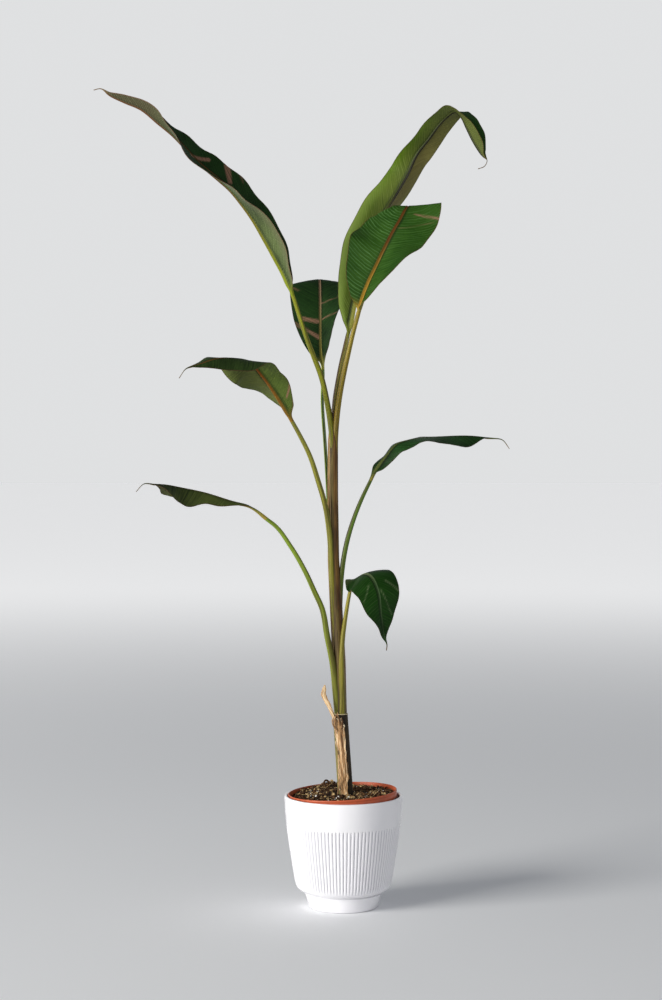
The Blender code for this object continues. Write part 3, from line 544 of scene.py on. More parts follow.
def grainy(name, codes, grain, relief):
    """A dull, crumbly or fibrous matter in three colours, with grains of a size in mm."""
    material, tree, shader = start_material(name, {"IOR": 1.45, "Specular IOR Level": 0.25})
    place = add(tree, "TexCoord", out="Object")
    grains = add(tree, "TexNoise", {"Vector": place, "Scale": 1 / (grain * MM), "Detail": 5,
                                    "Roughness": 0.65}, "Fac")
    colour = add(tree, "ValToRGB", {0: grains}, stops=(
        (0.34, codes[0]), (0.66, codes[2]), (0.5, codes[1])))
    rough = add(tree, "MapRange", {0: grains, 3: 0.8, 4: 0.98})
    link_surface(tree, shader, colour, (), rough, grains, relief)
    return material


def fibrous(name, codes, edge, fibre=2.4, relief=0.25, rough=(0.5, 0.75), spread=0.12):
    """A plant's sheath: long fibres that run up the UV map, a little uneven in colour. Where the
    mark "rim" is 1 it has dried to the edge colour. Real fibres are under 1 mm apart; they are
    drawn coarser, at "fibre" millimetres, so they show."""
    material, tree, shader = start_material(name, {"IOR": 1.45, "Specular IOR Level": 0.35})
    uv = add(tree, "UVMap", uv_map="leaf")
    place = add(tree, "TexCoord", out="Object")
    along = add(tree, "Mapping", {0: uv, "Scale": (UV_UNIT / fibre, 2.2, 1)})
    fibres = add(tree, "TexNoise", {"Vector": along, "Scale": 1, "Detail": 4, "Roughness": 0.6},
                 "Fac")
    tall = add(tree, "Mapping", {0: place, "Scale": (1, 1, 0.2)})
    cloud = add(tree, "TexNoise", {"Vector": tall, "Scale": 45, "Detail": 3}, "Fac")
    mixed = add(tree, "Math", (fibres, cloud), operation="ADD")
    half = add(tree, "Math", (mixed, 0.5), operation="MULTIPLY")
    colour = add(tree, "ValToRGB", {0: half}, stops=(
        (0.5 - spread, codes[0]), (0.5 + spread, codes[2]), (0.5, codes[1])))
    rim = add(tree, "Attribute", out="Fac", attribute_name="rim")
    roughness = add(tree, "MapRange", {0: fibres, 3: rough[0], 4: rough[1]})
    link_surface(tree, shader, colour, ((rim, edge),), roughness, fibres, relief)
    return material


def leaf_stalk(name, looks):
    """A living leaf stalk: smooth waxy skin over long fibres, darker in its channel. The fibres
    are drawn 2.6 mm apart, coarser than real ones, so they show."""
    foot, blade_end, channel = looks["stalk"]
    material, tree, shader = start_material(
        "leaf stalk " + name, {"IOR": 1.45, "Specular IOR Level": 0.3})
    uv = add(tree, "UVMap", uv_map="leaf")
    along = add(tree, "Mapping", {0: uv, "Scale": (UV_UNIT / 2.6, 1.2, 1)})
    fibres = add(tree, "TexNoise", {"Vector": along, "Scale": 1, "Detail": 4}, "Fac")
    reach, inside, edge = (add(tree, "Attribute", out="Fac", attribute_name=key)
                           for key in ("reach", "channel", "edge"))
    streak = add(tree, "MapRange", (fibres, 0.45, 0.6, 0.0, 0.7))
    rough = add(tree, "MapRange", {0: fibres, 3: 0.34, 4: 0.5})
    link_surface(tree, shader, foot, ((reach, blade_end), (streak, "#3e3410"), (inside, channel),
                                      (edge, "#5a3a20")), rough, fibres, 0.2)
    return material


def leaf_blade(name, looks):
    """A living banana blade: thin and waxy, with veins side by side from the midrib to the
    margin. Real veins are about 1 mm apart; they are drawn 2 mm and 5 mm apart, so they show."""
    material, tree, shader = start_material(
        "leaf blade " + name, {"IOR": 1.45, "Specular IOR Level": 0.12})
    uv = add(tree, "UVMap", uv_map="leaf")
    place = add(tree, "TexCoord", out="Object")
    upper, rib, edge, flush, tip, reach, outer, valley = (
        add(tree, "Attribute", out="Fac", attribute_name=key) for key in BLADE_MARKS)
    streaks = add(tree, "Mapping", {0: uv, "Scale": (2.5, 60, 1)})
    fibres = add(tree, "TexNoise", {"Vector": streaks, "Scale": 1, "Detail": 2, "Roughness": 0.6},
                 "Fac")
    cloud = add(tree, "TexNoise", {"Vector": place, "Scale": 17, "Detail": 2}, "Fac")
    waves = add(tree, "TexWave", {"Vector": uv, "Scale": 6.5, "Distortion": 2.6, "Detail": 2,
                                  "Detail Scale": 1.2}, "Fac", bands_direction="Y")
    fine = add(tree, "TexWave", {"Vector": uv, "Scale": 16, "Distortion": 1.0, "Detail": 1}, "Fac",
               bands_direction="Y")

    # How strongly the pale veins show, and which half of the blade this is
    right = add(tree, "MapRange", (add(tree, "SeparateXYZ", {0: uv}, "X"), -0.01, 0.01))
    pale = add(tree, "Math", (waves, 6.0), operation="POWER")
    for factor in (add(tree, "MapRange", (right, 0.0, 1.0, *looks["lines"])),
                   add(tree, "MapRange", (fibres, 0.35, 0.65, 0.15, 1.0))):
        pale = add(tree, "Math", (pale, factor), operation="MULTIPLY")
    # Shares for the light green, the painted light shining through towards the margins, the painted
    # light at the near margin, the painted shade with some browning at the far end, the streaks (on
    # low_right painted sheen) and the midrib's change of colour
    mixed = add(tree, "Math", (fibres, cloud), operation="ADD")
    glow = add(tree, "Math", (outer, 2.5), operation="POWER")
    light, glow, margin, low, far, flush_and_sheen_share, late, rough = (
        add(tree, "MapRange", values) for values in (
            (mixed, 0.8, 1.2), (glow, 0.0, 1.0, 0.0, 0.85), (outer, 0.55, 0.95, 0.0, 0.8),
            (reach, 0.5, 0.3), (reach, 0.6, 0.8), (fibres, 0.38, 0.56, 0.35, 1.0),
            (reach, 0.05, 0.45), (fibres, 0.0, 1.0, 0.4, 0.6)))
    near = add(tree, "Math", (low, margin), operation="MULTIPLY")
    flush_and_sheen_share = add(tree, "Math", (flush_and_sheen_share, flush), operation="MULTIPLY")

    # The greens above, and below on the left and right half (on top_right painted light and
    # shade); then the midrib above and below
    above, left_half, right_half, rib_above, rib_below = (
        add(tree, "Mix", {0: share, 6: pair[0], 7: pair[1]}, 2, data_type="RGBA")
        for share, pair in ((light, looks["upper"]), (light, looks["under"][0]),
                            (light, looks["under"][1]), (late, looks["rib"][:2]),
                            (late, looks["rib"][2:])))
    above, left_half, right_half, midrib = (
        add(tree, "Mix", {0: share, 6: one, 7: other}, 2, data_type="RGBA")
        for share, one, other in ((pale, above, looks["veins"][0]),
                                  (glow, left_half, looks["glow"][0]),
                                  (glow, right_half, looks["glow"][1]),
                                  (upper, rib_below, rib_above)))
    below = add(tree, "Mix", {0: right, 6: left_half, 7: right_half}, 2, data_type="RGBA")
    # Over the greens below: painted light at the near margin, painted shade with some browning at
    # the far end, then the painted shade beside the midrib and the streaks, on low_right painted
    # sheen
    coats = ((near, looks["near"]), (far, looks["far"]), (pale, looks["veins"][1]),
             (upper, above), (valley, PAINTED_VALLEY_SHADE), (flush_and_sheen_share, looks["flush"]),
             (edge, looks["margin"]), (rib, midrib), (tip, TIP_COLOUR))
    height = add(tree, "Math", (fine, waves), operation="ADD")
    height = add(tree, "Math", (height, fibres), operation="ADD")
    link_surface(tree, shader, below, coats, rough, height, 0.06, 0.5)
    return material


def deselect_all():
    if bpy.context.object and bpy.context.object.mode != "OBJECT":
        bpy.ops.object.mode_set(mode="OBJECT")
    bpy.ops.object.select_all(action="DESELECT")


def apply_modifiers(piece):
    bpy.context.view_layer.objects.active = piece
    for modifier in list(piece.modifiers):
        bpy.ops.object.modifier_apply(modifier=modifier.name)


def finish_piece(piece, name, finishes, stands_for=(), crease=45):
    """Names a finished piece, gives it its materials and ties it to the frame."""
    piece.name = name
    piece.data.name = name
    piece.data.materials.clear()
    for finish in finishes:
        piece.data.materials.append(finish)
    piece.data.shade_smooth()
    piece.data.set_sharp_from_angle(angle=math.radians(crease))
    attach(piece, BODY)
    if stands_for:
        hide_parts(*stands_for)


def turned(profile, sides):
    """A pot turned from its profile of radius and height: a disc whose face is extruded and
    resized from row to row, up the outside, over the rim and down the inside."""
    deselect_all()
    radius, z = profile[0]
    bpy.ops.mesh.primitive_circle_add(vertices=sides, radius=radius * MM, fill_type="NGON",
                                      location=(0, 0, z * MM))
    pot = bpy.context.object
    bpy.ops.object.transform_apply(location=True)
    bpy.ops.object.mode_set(mode="EDIT")
    for (last_radius, last_z), (radius, z) in zip(profile, profile[1:]):
        bpy.ops.mesh.extrude_region_move(
            TRANSFORM_OT_translate={"value": (0, 0, (z - last_z) * MM)})
        share = radius / last_radius
        bpy.ops.transform.resize(value=(share, share, 1), center_override=(0, 0, 0))
    bpy.ops.mesh.select_all(action="SELECT")
    bpy.ops.mesh.normals_make_consistent(inside=False)
    bpy.ops.object.mode_set(mode="OBJECT")
    return pot


def body_radius(z):
    """The cachepot's outside, which tapers from its rim to its lower edge."""
    keys = np.array(BODY_OUTLINE)
    at, _ = smooth(keys[:, 0], keys[:, 1:], np.atleast_1d(np.asarray(z, float)))
    return at[:, 0]


def carve_ribs(pot):
    """Rounded ribs with narrow grooves between them. Their tops are rounded off, and at their
    lower end they run out over the body's rounding."""
    mesh = pot.data
    # The mark "groove" tells the glaze how deep a point lies in a groove, for the painted shade
    # there
    groove = mesh.attributes.new("groove", "FLOAT", "POINT")
    outside = body_radius([vertex.co.z / MM for vertex in mesh.vertices])
    for vertex in mesh.vertices:
        x, y, z = vertex.co / MM
        radius = math.hypot(x, y)
        if not RIB_LOW_Z < z < RIB_TOP_Z or radius < outside[vertex.index] - 1:
            continue
        share = (math.atan2(y, x) / (2 * math.pi) * RIB_COUNT) % 1
        off = abs(2 * share - 1)
        end = min(1, (RIB_TOP_Z - z) / RIB_ROUND)
        width = max(0.01, math.sqrt(1 - (1 - end) ** 2))
        depth = 1 if end == 1 else max(0, 1 - (1 - off) / width * 1.6)
        cut = RIB_DEPTH * off ** RIB_SHARPNESS * depth * min(1, (z - RIB_LOW_Z) / RIB_RUN_OUT)
        vertex.co.x -= cut * MM * x / radius
        vertex.co.y -= cut * MM * y / radius
        groove.data[vertex.index].value = cut / RIB_DEPTH


def build_cachepot():
    rows = [(FOOT_RADIUS - 4, 0), (FOOT_RADIUS - 1.2, 0.4), (FOOT_RADIUS - 0.2, 1.6),
            (FOOT_RADIUS + 1.9, 9), (FOOT_RADIUS + 4.2, 16), (FOOT_TOP_RADIUS - 0.5, 22),
            (FOOT_TOP_RADIUS - 0.3, 22.7), (FOOT_TOP_RADIUS - NECK_DEPTH, 23.1),
            (FOOT_TOP_RADIUS - NECK_DEPTH, FOOT_TOP_Z)]
    heights = [24.6, 25.4, 26.5, 27.5, 28.6, 30, 31.6, 33.5, 35.6, 38.5, 42, 46, 50, 58, 66, 75,
               85, 94, 104, 113, 120, 125]
    heights += [RIB_TOP_Z - RIB_ROUND + 0.3 * k for k in range(11)]
    heights += [133.5, 137, 142, 149, 158, 165, 171.5]
    rows += [(float(radius), z) for radius, z in zip(body_radius(heights), heights)]
    lip = POT_WALL / 2
    rows += [(POT_RIM_RADIUS - lip + lip * math.cos(math.radians(a)),
              POT_HEIGHT - 1.9 + 1.9 * math.sin(math.radians(a))) for a in range(15, 180, 15)]
    inner_low = float(body_radius(INNER_LOW_Z)[0]) - POT_WALL
    rows += [(POT_RIM_RADIUS - POT_WALL, POT_HEIGHT - 3.4), (84.6, 141), (inner_low, INNER_LOW_Z),
             (inner_low - 2, LEDGE_Z), (FOOT_RADIUS - 2, LEDGE_Z), (FOOT_RADIUS - 6, 7)]
    pot = turned(rows, RIB_COUNT * RIB_POINTS)
    carve_ribs(pot)
    finish_piece(pot, "glazed_cachepot", [white_glaze()], ["cachepot"], 60)


def nursery_place():
    """The nursery pot's place: tilted to one side, its low edge on the cachepot's ledge."""
    turn = Matrix.Rotation(math.radians(-NURSERY_TILT), 4, "Y")
    return Matrix.Translation(NURSERY_BASE) @ turn


def nursery_inner(z):
    """Inside radius of the nursery pot below its rim."""
    shoulder = NURSERY_HEIGHT - NURSERY_RIM_DEPTH
    low, high = NURSERY_LOW_RADIUS - NURSERY_WALL, NURSERY_HIGH_RADIUS - NURSERY_WALL
    return low + (high - low) * (z - NURSERY_WALL) / (shoulder - NURSERY_WALL)


def set_in_place(piece):
    """Tilts and lifts a piece made in the nursery pot's own frame, and applies that."""
    piece.rotation_euler = (0, math.radians(-NURSERY_TILT), 0)
    piece.location = Vector(NURSERY_BASE) * MM
    deselect_all()
    piece.select_set(True)
    bpy.context.view_layer.objects.active = piece
    bpy.ops.object.transform_apply(location=True, rotation=True)


def build_nursery_pot():
    top, shoulder = NURSERY_HEIGHT, NURSERY_HEIGHT - NURSERY_RIM_DEPTH
    rim, inside = NURSERY_RIM_RADIUS, NURSERY_RIM_RADIUS - NURSERY_WALL
    floor = NURSERY_WALL + 0.1
    pot = turned((
        (NURSERY_LOW_RADIUS - 2.2, 0), (NURSERY_LOW_RADIUS - 0.6, 0.5), (NURSERY_LOW_RADIUS, 2),
        (NURSERY_HIGH_RADIUS, shoulder), (rim - 1.4, shoulder + 0.3), (rim - 0.5, shoulder + 0.9),
        (rim - 0.3, shoulder + 2), (rim - 0.2, top - 5.2), (rim - 0.6, top - 4.6),
        (rim - 0.6, top - 3.8), (rim, top - 3.2), (rim, top - 1.0), (rim - 0.3, top - 0.3),
        (rim - 0.8, top), (inside, top - 0.2), (inside - 0.1, top - 1),
        (inside - 0.4, shoulder + 3), (nursery_inner(shoulder), shoulder),
        (nursery_inner(floor), floor)), NURSERY_SIDES)
    drains = []
    for i in range(DRAIN_HOLES):
        turn = 2 * math.pi * i / DRAIN_HOLES
        place = Vector((math.cos(turn), math.sin(turn), 0)) * DRAIN_CIRCLE_RADIUS * MM
        deselect_all()
        bpy.ops.mesh.primitive_cylinder_add(vertices=32, radius=DRAIN_RADIUS * MM,
                                            depth=4 * NURSERY_WALL * MM, location=place)
        drains.append(bpy.context.object)
    for drain in drains:
        cut = pot.modifiers.new("drain", "BOOLEAN")
        cut.operation = "DIFFERENCE"
        cut.object = drain
    apply_modifiers(pot)
    for drain in drains:
        bpy.data.objects.remove(drain, do_unlink=True)
    set_in_place(pot)
    finish_piece(pot, "moulded_nursery_pot", [moulded_terracotta()],
                 ["nursery_pot"])


def soil_height(x, y):
    """The soil's surface in the nursery pot's frame: heaps, and crumbs of three sizes."""
    height = SOIL_LEVEL
    for heap_x, heap_y, rise, spread in SOIL_HEAPS:
        height += rise * math.exp(-((x - heap_x) ** 2 + (y - heap_y) ** 2) / (2 * spread ** 2))
    for layer, (width, rise) in enumerate(SOIL_CRUMBS):
        height += rise * noise.noise(Vector((x / width, y / width, 9.0 * layer)))
    return height


def build_soil():
    """The soil fills the nursery pot from its floor, with the stem standing in it."""
    shoulder = NURSERY_HEIGHT - NURSERY_RIM_DEPTH
    reach = NURSERY_RIM_RADIUS - NURSERY_WALL - 0.6
    low = NURSERY_WALL + 0.4
    rows = [(nursery_inner(low) - 0.6, low), (nursery_inner(shoulder) - 0.6, shoulder),
            (reach, shoulder + 3.2)]
    rows += [(reach * (1 - k / SOIL_RINGS), None) for k in range(1, SOIL_RINGS)]
    place = nursery_place()
    rings = []
    for radius, z in rows:
        turns = [2 * math.pi * i / SOIL_SIDES for i in range(SOIL_SIDES)]
        ring = [(radius * math.cos(turn), radius * math.sin(turn)) for turn in turns]
        rings.append([place @ Vector((x, y, soil_height(x, y) if z is None else z))
                      for x, y in ring])
    soil = grainy("potting soil, sifted peat and bark", ("#120a06", "#2c1e14", "#5c4630"), 3.2,
                  1.0)
    mesh_piece("potting_soil", [tube(rings)], [soil], ["soil"])


def lump(rough, flat, seed):
    """A grain or chip to copy: a small ball with its corners knocked about, and flattened."""
    deselect_all()
    bpy.ops.mesh.primitive_ico_sphere_add(subdivisions=2, radius=1)
    made = bpy.context.object
    bpy.ops.object.mode_set(mode="EDIT")
    bpy.ops.transform.vertex_random(offset=rough, uniform=0.2, normal=0.7, seed=seed)
    bpy.ops.transform.resize(value=(1, 0.75, flat))
    bpy.ops.object.mode_set(mode="OBJECT")
    return made


def fibre(bow, seed):
    """A root fibre to copy: a bent wire one unit long, tapering to its ends."""
    deselect_all()
    bpy.ops.curve.primitive_bezier_curve_add(radius=0.5)
    made = bpy.context.object
    made.data.bevel_depth = 0.02
    made.data.bevel_resolution = 0
    made.data.resolution_u = 7
    made.data.use_fill_caps = True
    draw = random.Random(seed)
    for point, size in zip(made.data.splines[0].bezier_points, (0.5, 1.0)):
        point.radius = size
        for handle in (point.handle_left, point.handle_right):
            handle += Vector((0, draw.uniform(-bow, bow), draw.uniform(-bow, bow) * 0.5))
    bpy.ops.object.convert(target="MESH")
    return bpy.context.object


def scatter(name, models, count, sizes, finish, seed, lift=0.0, lean=0.5, reach=0.97, near=0.17,
            seen=()):
    """Copies of a few models strewn over the soil, joined in one piece. Each is sunk a little
    into the soil under it. Those with a known place and size come first."""
    draw = random.Random(seed)
    place = nursery_place()
    made = bmesh.new()
    for number in range(len(seen) + count):
        model = draw.choice(models)
        radius = (NURSERY_RIM_RADIUS - NURSERY_WALL - 1.5) * math.sqrt(
            draw.uniform(near ** 2, reach ** 2))
        turn = draw.uniform(0, 2 * math.pi)
        x, y = radius * math.cos(turn), radius * math.sin(turn)
        size = sizes[0] + (sizes[1] - sizes[0]) * draw.random() ** 2
        if number < len(seen):
            x, y, size = seen[number]
        at = Vector((x, y, soil_height(x, y) + lift * size))
        tilt = Euler((draw.uniform(-lean, lean), draw.uniform(-lean, lean),
                      draw.uniform(0, 2 * math.pi)))
        move = place @ Matrix.Translation(at) @ tilt.to_matrix().to_4x4() @ Matrix.Scale(size, 4)
        copy = model.data.copy()
        copy.transform(Matrix.Scale(MM, 4) @ move)
        made.from_mesh(copy)
        bpy.data.meshes.remove(copy)
    mesh = bpy.data.meshes.new(name)
    made.to_mesh(mesh)
    made.free()
    piece = bpy.data.objects.new(name, mesh)
    bpy.context.scene.collection.objects.link(piece)
    finish_piece(piece, name, [finish], crease=60)


def build_soil_bits():
    """White perlite, chips of bark, pale husks and root fibres on the soil."""
    grains = [lump(0.35, 0.8, seed) for seed in (1, 2, 3)]
    chips = [lump(0.5, 0.35, seed) for seed in (4, 5, 6)]
    wires = [fibre(0.5, seed) for seed in (7, 8, 9, 10)]
    perlite = grainy("expanded perlite grains", ("#cfc8bb", "#efece4", "#fbfaf6"), 1.2, 0.3)
    bark = grainy("chipped pine bark", ("#160d07", "#40291a", "#7c5c3a"), 3.0, 0.5)
    husk = grainy("dry coir husk", ("#7c5e38", "#b89868", "#e0cca0"), 2.0, 0.4)
    scatter("perlite_grains", grains, 45, (0.5, 1.3), perlite, 21, 0.5, seen=PERLITE)
    scatter("bark_chips", chips, 420, (1.6, 5.0), bark, 22, 0.3, 1.1)
    scatter("husk_chips", chips, 300, (0.9, 3.2), husk, 23, 0.45, 1.1)
    scatter("root_fibres", wires, 130, (6.0, 24.0), husk, 24, 0.04, 0.4, 0.85, 0.22)
    for model in grains + chips + wires:
        bpy.data.objects.remove(model, do_unlink=True)

    deselect_all()
    (x, y, lift), radius, half = CURLED_HUSK
    at = nursery_place() @ Vector((x, y, soil_height(x, y) + lift))
    bpy.ops.mesh.primitive_torus_add(major_segments=24, minor_segments=8, major_radius=radius * MM,
                                     minor_radius=half * MM, location=at * MM,
                                     rotation=(math.radians(75), 0.3, 0.4))
    bpy.ops.object.transform_apply(location=True, rotation=True, scale=True)
    finish_piece(bpy.context.object, "curled_husk", [bark], crease=60)


def tube(rings, across=None, along=None, marks=None, finish=0):
    """A closed tube for mesh_piece: rings of points in millimetres, the place of each across
    and along the piece for its UV map, and what else its material reads there."""
    points = np.array([[tuple(p) for p in ring] for ring in rings], float)
    rows, count = points.shape[:2]
    if across is None:
        across = np.zeros((rows, count + 1))
        along = np.zeros((rows, count + 1))
    return {"points": points, "uv": np.stack((across, along), -1) / UV_UNIT,
            "marks": marks or {}, "finish": finish}


def ring_corners(grid):
    """The four corners of each face of a grid, as its rows and columns follow."""
    corners = (grid[:-1, :-1], grid[:-1, 1:], grid[1:, 1:], grid[1:, :-1])
    return np.stack(corners, axis=2)


def mesh_piece(name, tubes, finishes, stands_for=(), crease=45):
    """One piece from closed tubes, with its UV map and marks."""
    faces, places, kinds, first = [], [], [], 0
    for one in tubes:
        rows, count = one["points"].shape[:2]
        index = first + np.arange(rows * count).reshape(rows, count)
        wrapped = np.concatenate((index, index[:, :1]), axis=1)
        faces += ring_corners(wrapped).reshape(-1, 4).tolist()
        faces += [index[0].tolist(), index[-1].tolist()]
        places += [ring_corners(one["uv"]).reshape(-1, 2), one["uv"][0, :-1], one["uv"][-1, :-1]]
        kinds += [one["finish"]] * (count * (rows - 1) + 2)
        first += rows * count
    mesh = bpy.data.meshes.new(name)
    points = np.concatenate([one["points"].reshape(-1, 3) for one in tubes])
    mesh.from_pydata(points * MM, [], faces)
    layer = mesh.uv_layers.new(name="leaf")
    layer.data.foreach_set("uv", np.concatenate(places).ravel())
    for key in sorted({key for one in tubes for key in one["marks"]}):
        values = [np.broadcast_to(one["marks"].get(key, 0.0), one["points"].shape[:2]).ravel()
                  for one in tubes]
        mesh.attributes.new(key, "FLOAT", "POINT").data.foreach_set("value",
                                                                   np.concatenate(values))
    shape = bmesh.new()
    shape.from_mesh(mesh)
    bmesh.ops.recalc_face_normals(shape, faces=shape.faces)
    shape.to_mesh(mesh)
    shape.free()
    piece = bpy.data.objects.new(name, mesh)
    bpy.context.scene.collection.objects.link(piece)
    finish_piece(piece, name, finishes, stands_for, crease)
    mesh.polygons.foreach_set("material_index", kinds)


def smooth(knots, values, query):
    """A smooth curve through values at knots, and its slope, read at the query places."""
    knots, values = np.asarray(knots, float), np.asarray(values, float)
    slopes = np.gradient(values, knots, axis=0)
    i = np.clip(np.searchsorted(knots, query, "right") - 1, 0, len(knots) - 2)
    step = (knots[i + 1] - knots[i])[:, None]
    t = (query - knots[i])[:, None] / step
    a, b, da, db = values[i], values[i + 1], slopes[i] * step, slopes[i + 1] * step
    at = (2 * t ** 3 - 3 * t ** 2 + 1) * a + (t ** 3 - 2 * t ** 2 + t) * da
    at += (3 * t ** 2 - 2 * t ** 3) * b + (t ** 3 - t ** 2) * db
    rate = (6 * t ** 2 - 6 * t) * (a - b) + (3 * t ** 2 - 4 * t + 1) * da
    rate += (3 * t ** 2 - 2 * t) * db
    return at, rate


def unit(rows):
    return rows / np.linalg.norm(rows, axis=-1, keepdims=True)


def leaf_route(leaf):
    """Points and knots of the whole leaf's route, and the knots where it parts from the stem
    and where the blade starts."""
    points = np.array(leaf["stalk"] + leaf["midrib"], float)
    steps = np.linalg.norm(np.diff(points, axis=0), axis=1)
    knots = np.concatenate(([0], np.cumsum(steps)))
    return points, knots, leaf["free_from"], len(leaf["stalk"]) - 1


def leaf_frames(leaf, query):
    """Position, direction, upper side and right side of a leaf at the query places. The upper
    side is carried along the solid's own rings without twist from the blade's foot, where it
    faces most upwards, and read between them."""
    points, knots, _, blade_from = leaf_route(leaf)
    solid = [knots[0]]
    for a, b in zip(knots, knots[1:]):
        solid += [a + (b - a) * k / SOLID_RINGS_PER_STEP
                  for k in range(1, SOLID_RINGS_PER_STEP + 1)]
    _, rate = smooth(knots, points, np.array(solid))
    tangents = [Vector(r).normalized() for r in rate]
    start = blade_from * SOLID_RINGS_PER_STEP
    uppers = {start: Vector((0, 0, 1)) - tangents[start].z * tangents[start]}
    for order in (range(start + 1, len(solid)), range(start - 1, -1, -1)):
        last = start
        for i in order:
            uppers[i] = tangents[last].rotation_difference(tangents[i]) @ uppers[last]
            last = i
    carried = unit(np.array([tuple(uppers[i]) for i in range(len(solid))]))
    at, rate = smooth(knots, points, query)
    ahead = unit(rate)
    upper = np.stack([np.interp(query, solid, carried[:, k]) for k in range(3)], axis=1)
    upper = unit(upper - (upper * ahead).sum(1, keepdims=True) * ahead)
    return at, ahead, upper, np.cross(ahead, upper)


def soft_step(values, low, high):
    t = np.clip((np.asarray(values, float) - low) / (high - low), 0, 1)
    return t * t * (3 - 2 * t)


def stalk_points(frames, radius, angles):
    """Points of a stalk's round section at angles from its upper side, with a shallow channel
    between two thin margins."""
    at, _, upper, side = frames
    inside = np.clip(np.abs(angles) / math.radians(CHANNEL_HALF_ANGLE), 0, 1)
    margin = np.exp(-((np.abs(angles) - math.radians(CHANNEL_HALF_ANGLE)) / 0.14) ** 2)
    reach = 1 - STALK_CHANNEL * np.cos(inside * math.pi / 2) ** 2 + 0.05 * margin
    reach = (radius[:, None] * reach)[..., None]
    turn = angles[..., None]
    return at[:, None] + reach * (np.cos(turn) * upper[:, None] + np.sin(turn) * side[:, None])


def stalk_tube(leaf, first, last, finish=0):
    """The leaf's stalk from one knot of its route to another."""
    _, knots, free_from, blade_from = leaf_route(leaf)
    count = max(2, round((knots[last] - knots[first]) / STALK_STEP))
    query = np.linspace(knots[first], knots[last], count + 1)
    frames = leaf_frames(leaf, query)
    radius = np.interp(query, (knots[0], knots[free_from], knots[blade_from]), leaf["radius"])
    turn = np.linspace(0, 2 * math.pi, STALK_SIDES + 1)
    signed = np.where(turn > math.pi, turn - 2 * math.pi, turn)
    angles = np.broadcast_to(signed[:-1], (len(query), STALK_SIDES))
    points = stalk_points(frames, radius, angles)
    across = np.outer(radius, turn)
    along = np.broadcast_to(query[:, None], across.shape)
    half = math.radians(CHANNEL_HALF_ANGLE)
    marks = {
        "channel": np.clip((half - np.abs(angles)) / (0.4 * half) + 0.6, 0, 1),
        "edge": 0.6 * np.exp(-((np.abs(angles) - half) / 0.16) ** 2),
        "reach": np.broadcast_to((query / knots[blade_from])[:, None], angles.shape),
    }
    return tube(points, across, along, marks, finish)


def half_section(distance, width, fold, curl):
    """A point of one half of the blade's section, out from the midrib and up, and its slope."""
    start = np.radians(fold)
    bend = math.radians(curl) / width
    end = start + bend * distance
    return (np.sin(end) - np.sin(start)) / bend, (np.cos(start) - np.cos(end)) / bend, end


def looped(top, bottom):
    """Values above from left to right, then values below back."""
    return np.concatenate((top, bottom[:, ::-1]), axis=1)


def closed(values):
    return np.concatenate((values, values[:, :1]), axis=1)


def blade_marks(looks, along, width, rib, place, grown):
    """What a blade's material reads at each of its points."""
    length, wide, out = along[-1], width[:, None], np.abs(place)
    ratio = out / rib[:, None]
    rib_above, rib_below = (np.maximum(np.clip((reach - ratio) / 0.3, 0, 1), grown)
                            for reach in (1.25, 1.15))
    edge = soft_step(out - wide, -MARGIN - 0.2, -0.3) * soft_step(width, 2, 6)[:, None]
    edge = 0.8 * edge * (1 - grown)
    # Painted shade in the valley beside the midrib, where the blade dips from it: deeper on the
    # right half, away from the window
    valley = np.exp(-((ratio - 1.7) / 0.6) ** 2) * np.where(place > 0, 0.85, 0.35)
    valley = valley * (1 - grown) * soft_step(width, 3, 14)[:, None]
    # Streaks above and below: red-brown flushes, and on low_right painted sheen above
    flush, blush = np.zeros_like(out), np.zeros_like(out)
    for first, side_a, last, side_b, half_a, half_b, strong_above, strong_below in looks["streaks"]:
        a, b = (np.array((share * length, side * np.interp(share, along / length, width)))
                for share, side in ((first, side_a), (last, side_b)))
        off = np.stack((along[:, None] - a[0] + 0 * out, place - a[1]), axis=-1)
        t = np.clip((off @ (b - a)) / ((b - a) @ (b - a)), 0, 1)
        away = np.linalg.norm(off - t[..., None] * (b - a), axis=-1)
        streak = soft_step(half_a + (half_b - half_a) * t - away, -1.3, 1.1)
        flush = np.maximum(flush, strong_above * streak)
        blush = np.maximum(blush, strong_below * streak)
    reach = (along / length)[:, None] + 0 * out
    tip = soft_step(reach, 0.93, 0.985)
    pairs = ((1 + 0 * out, 0 * out), (rib_above, rib_below), (edge, edge), (flush, blush),
             (tip, tip), (reach, reach), (out / wide, out / wide), (valley, valley))
    return {key: looped(*pair) for key, pair in zip(BLADE_MARKS, pairs)}


def blade_places(width, rib):
    """Places across the blade from margin to margin, close together on the midrib and at both
    margins."""
    half = [rib * place for place in RIB_PLACES]
    span = width - half[-1]
    half += [half[-1] + span * k / HALF_STEPS for k in range(1, HALF_STEPS)]
    half += [width - np.minimum(MARGIN, 0.06 * span), width]
    half = np.stack(half, axis=1)
    return np.concatenate((-half[:, :0:-1], half), axis=1)


def blade_relief(looks, seed, along, width, place, ratio):
    """Each point's place along the side veins, and its height from the low pleats along them and
    the ripples towards the margins."""
    out, left = np.abs(place), place < 0
    vein = along[:, None] - np.where(left, *looks["lean"]) * out
    vein = vein - VEIN_BEND * out ** 2 / width.max()
    clear = soft_step(ratio, 1.2, 3.5) * soft_step(width, 3, 14)[:, None]
    pleats = PLEAT_HEIGHT * np.where(left, *looks["lines"])
    relief = pleats * np.sin(2 * np.pi * vein / PLEAT_WIDTH) * clear
    ripple = np.array([[noise.noise(Vector((a / RIPPLE_WIDTH, 3.7 * seed + s, 0)))
                        for s in (0, 50)] for a in along])
    ripple = np.where(left, ripple[:, :1], ripple[:, 1:])
    return vein, relief + RIPPLE_HEIGHT * ripple * (out / width[:, None]) ** 3 * clear


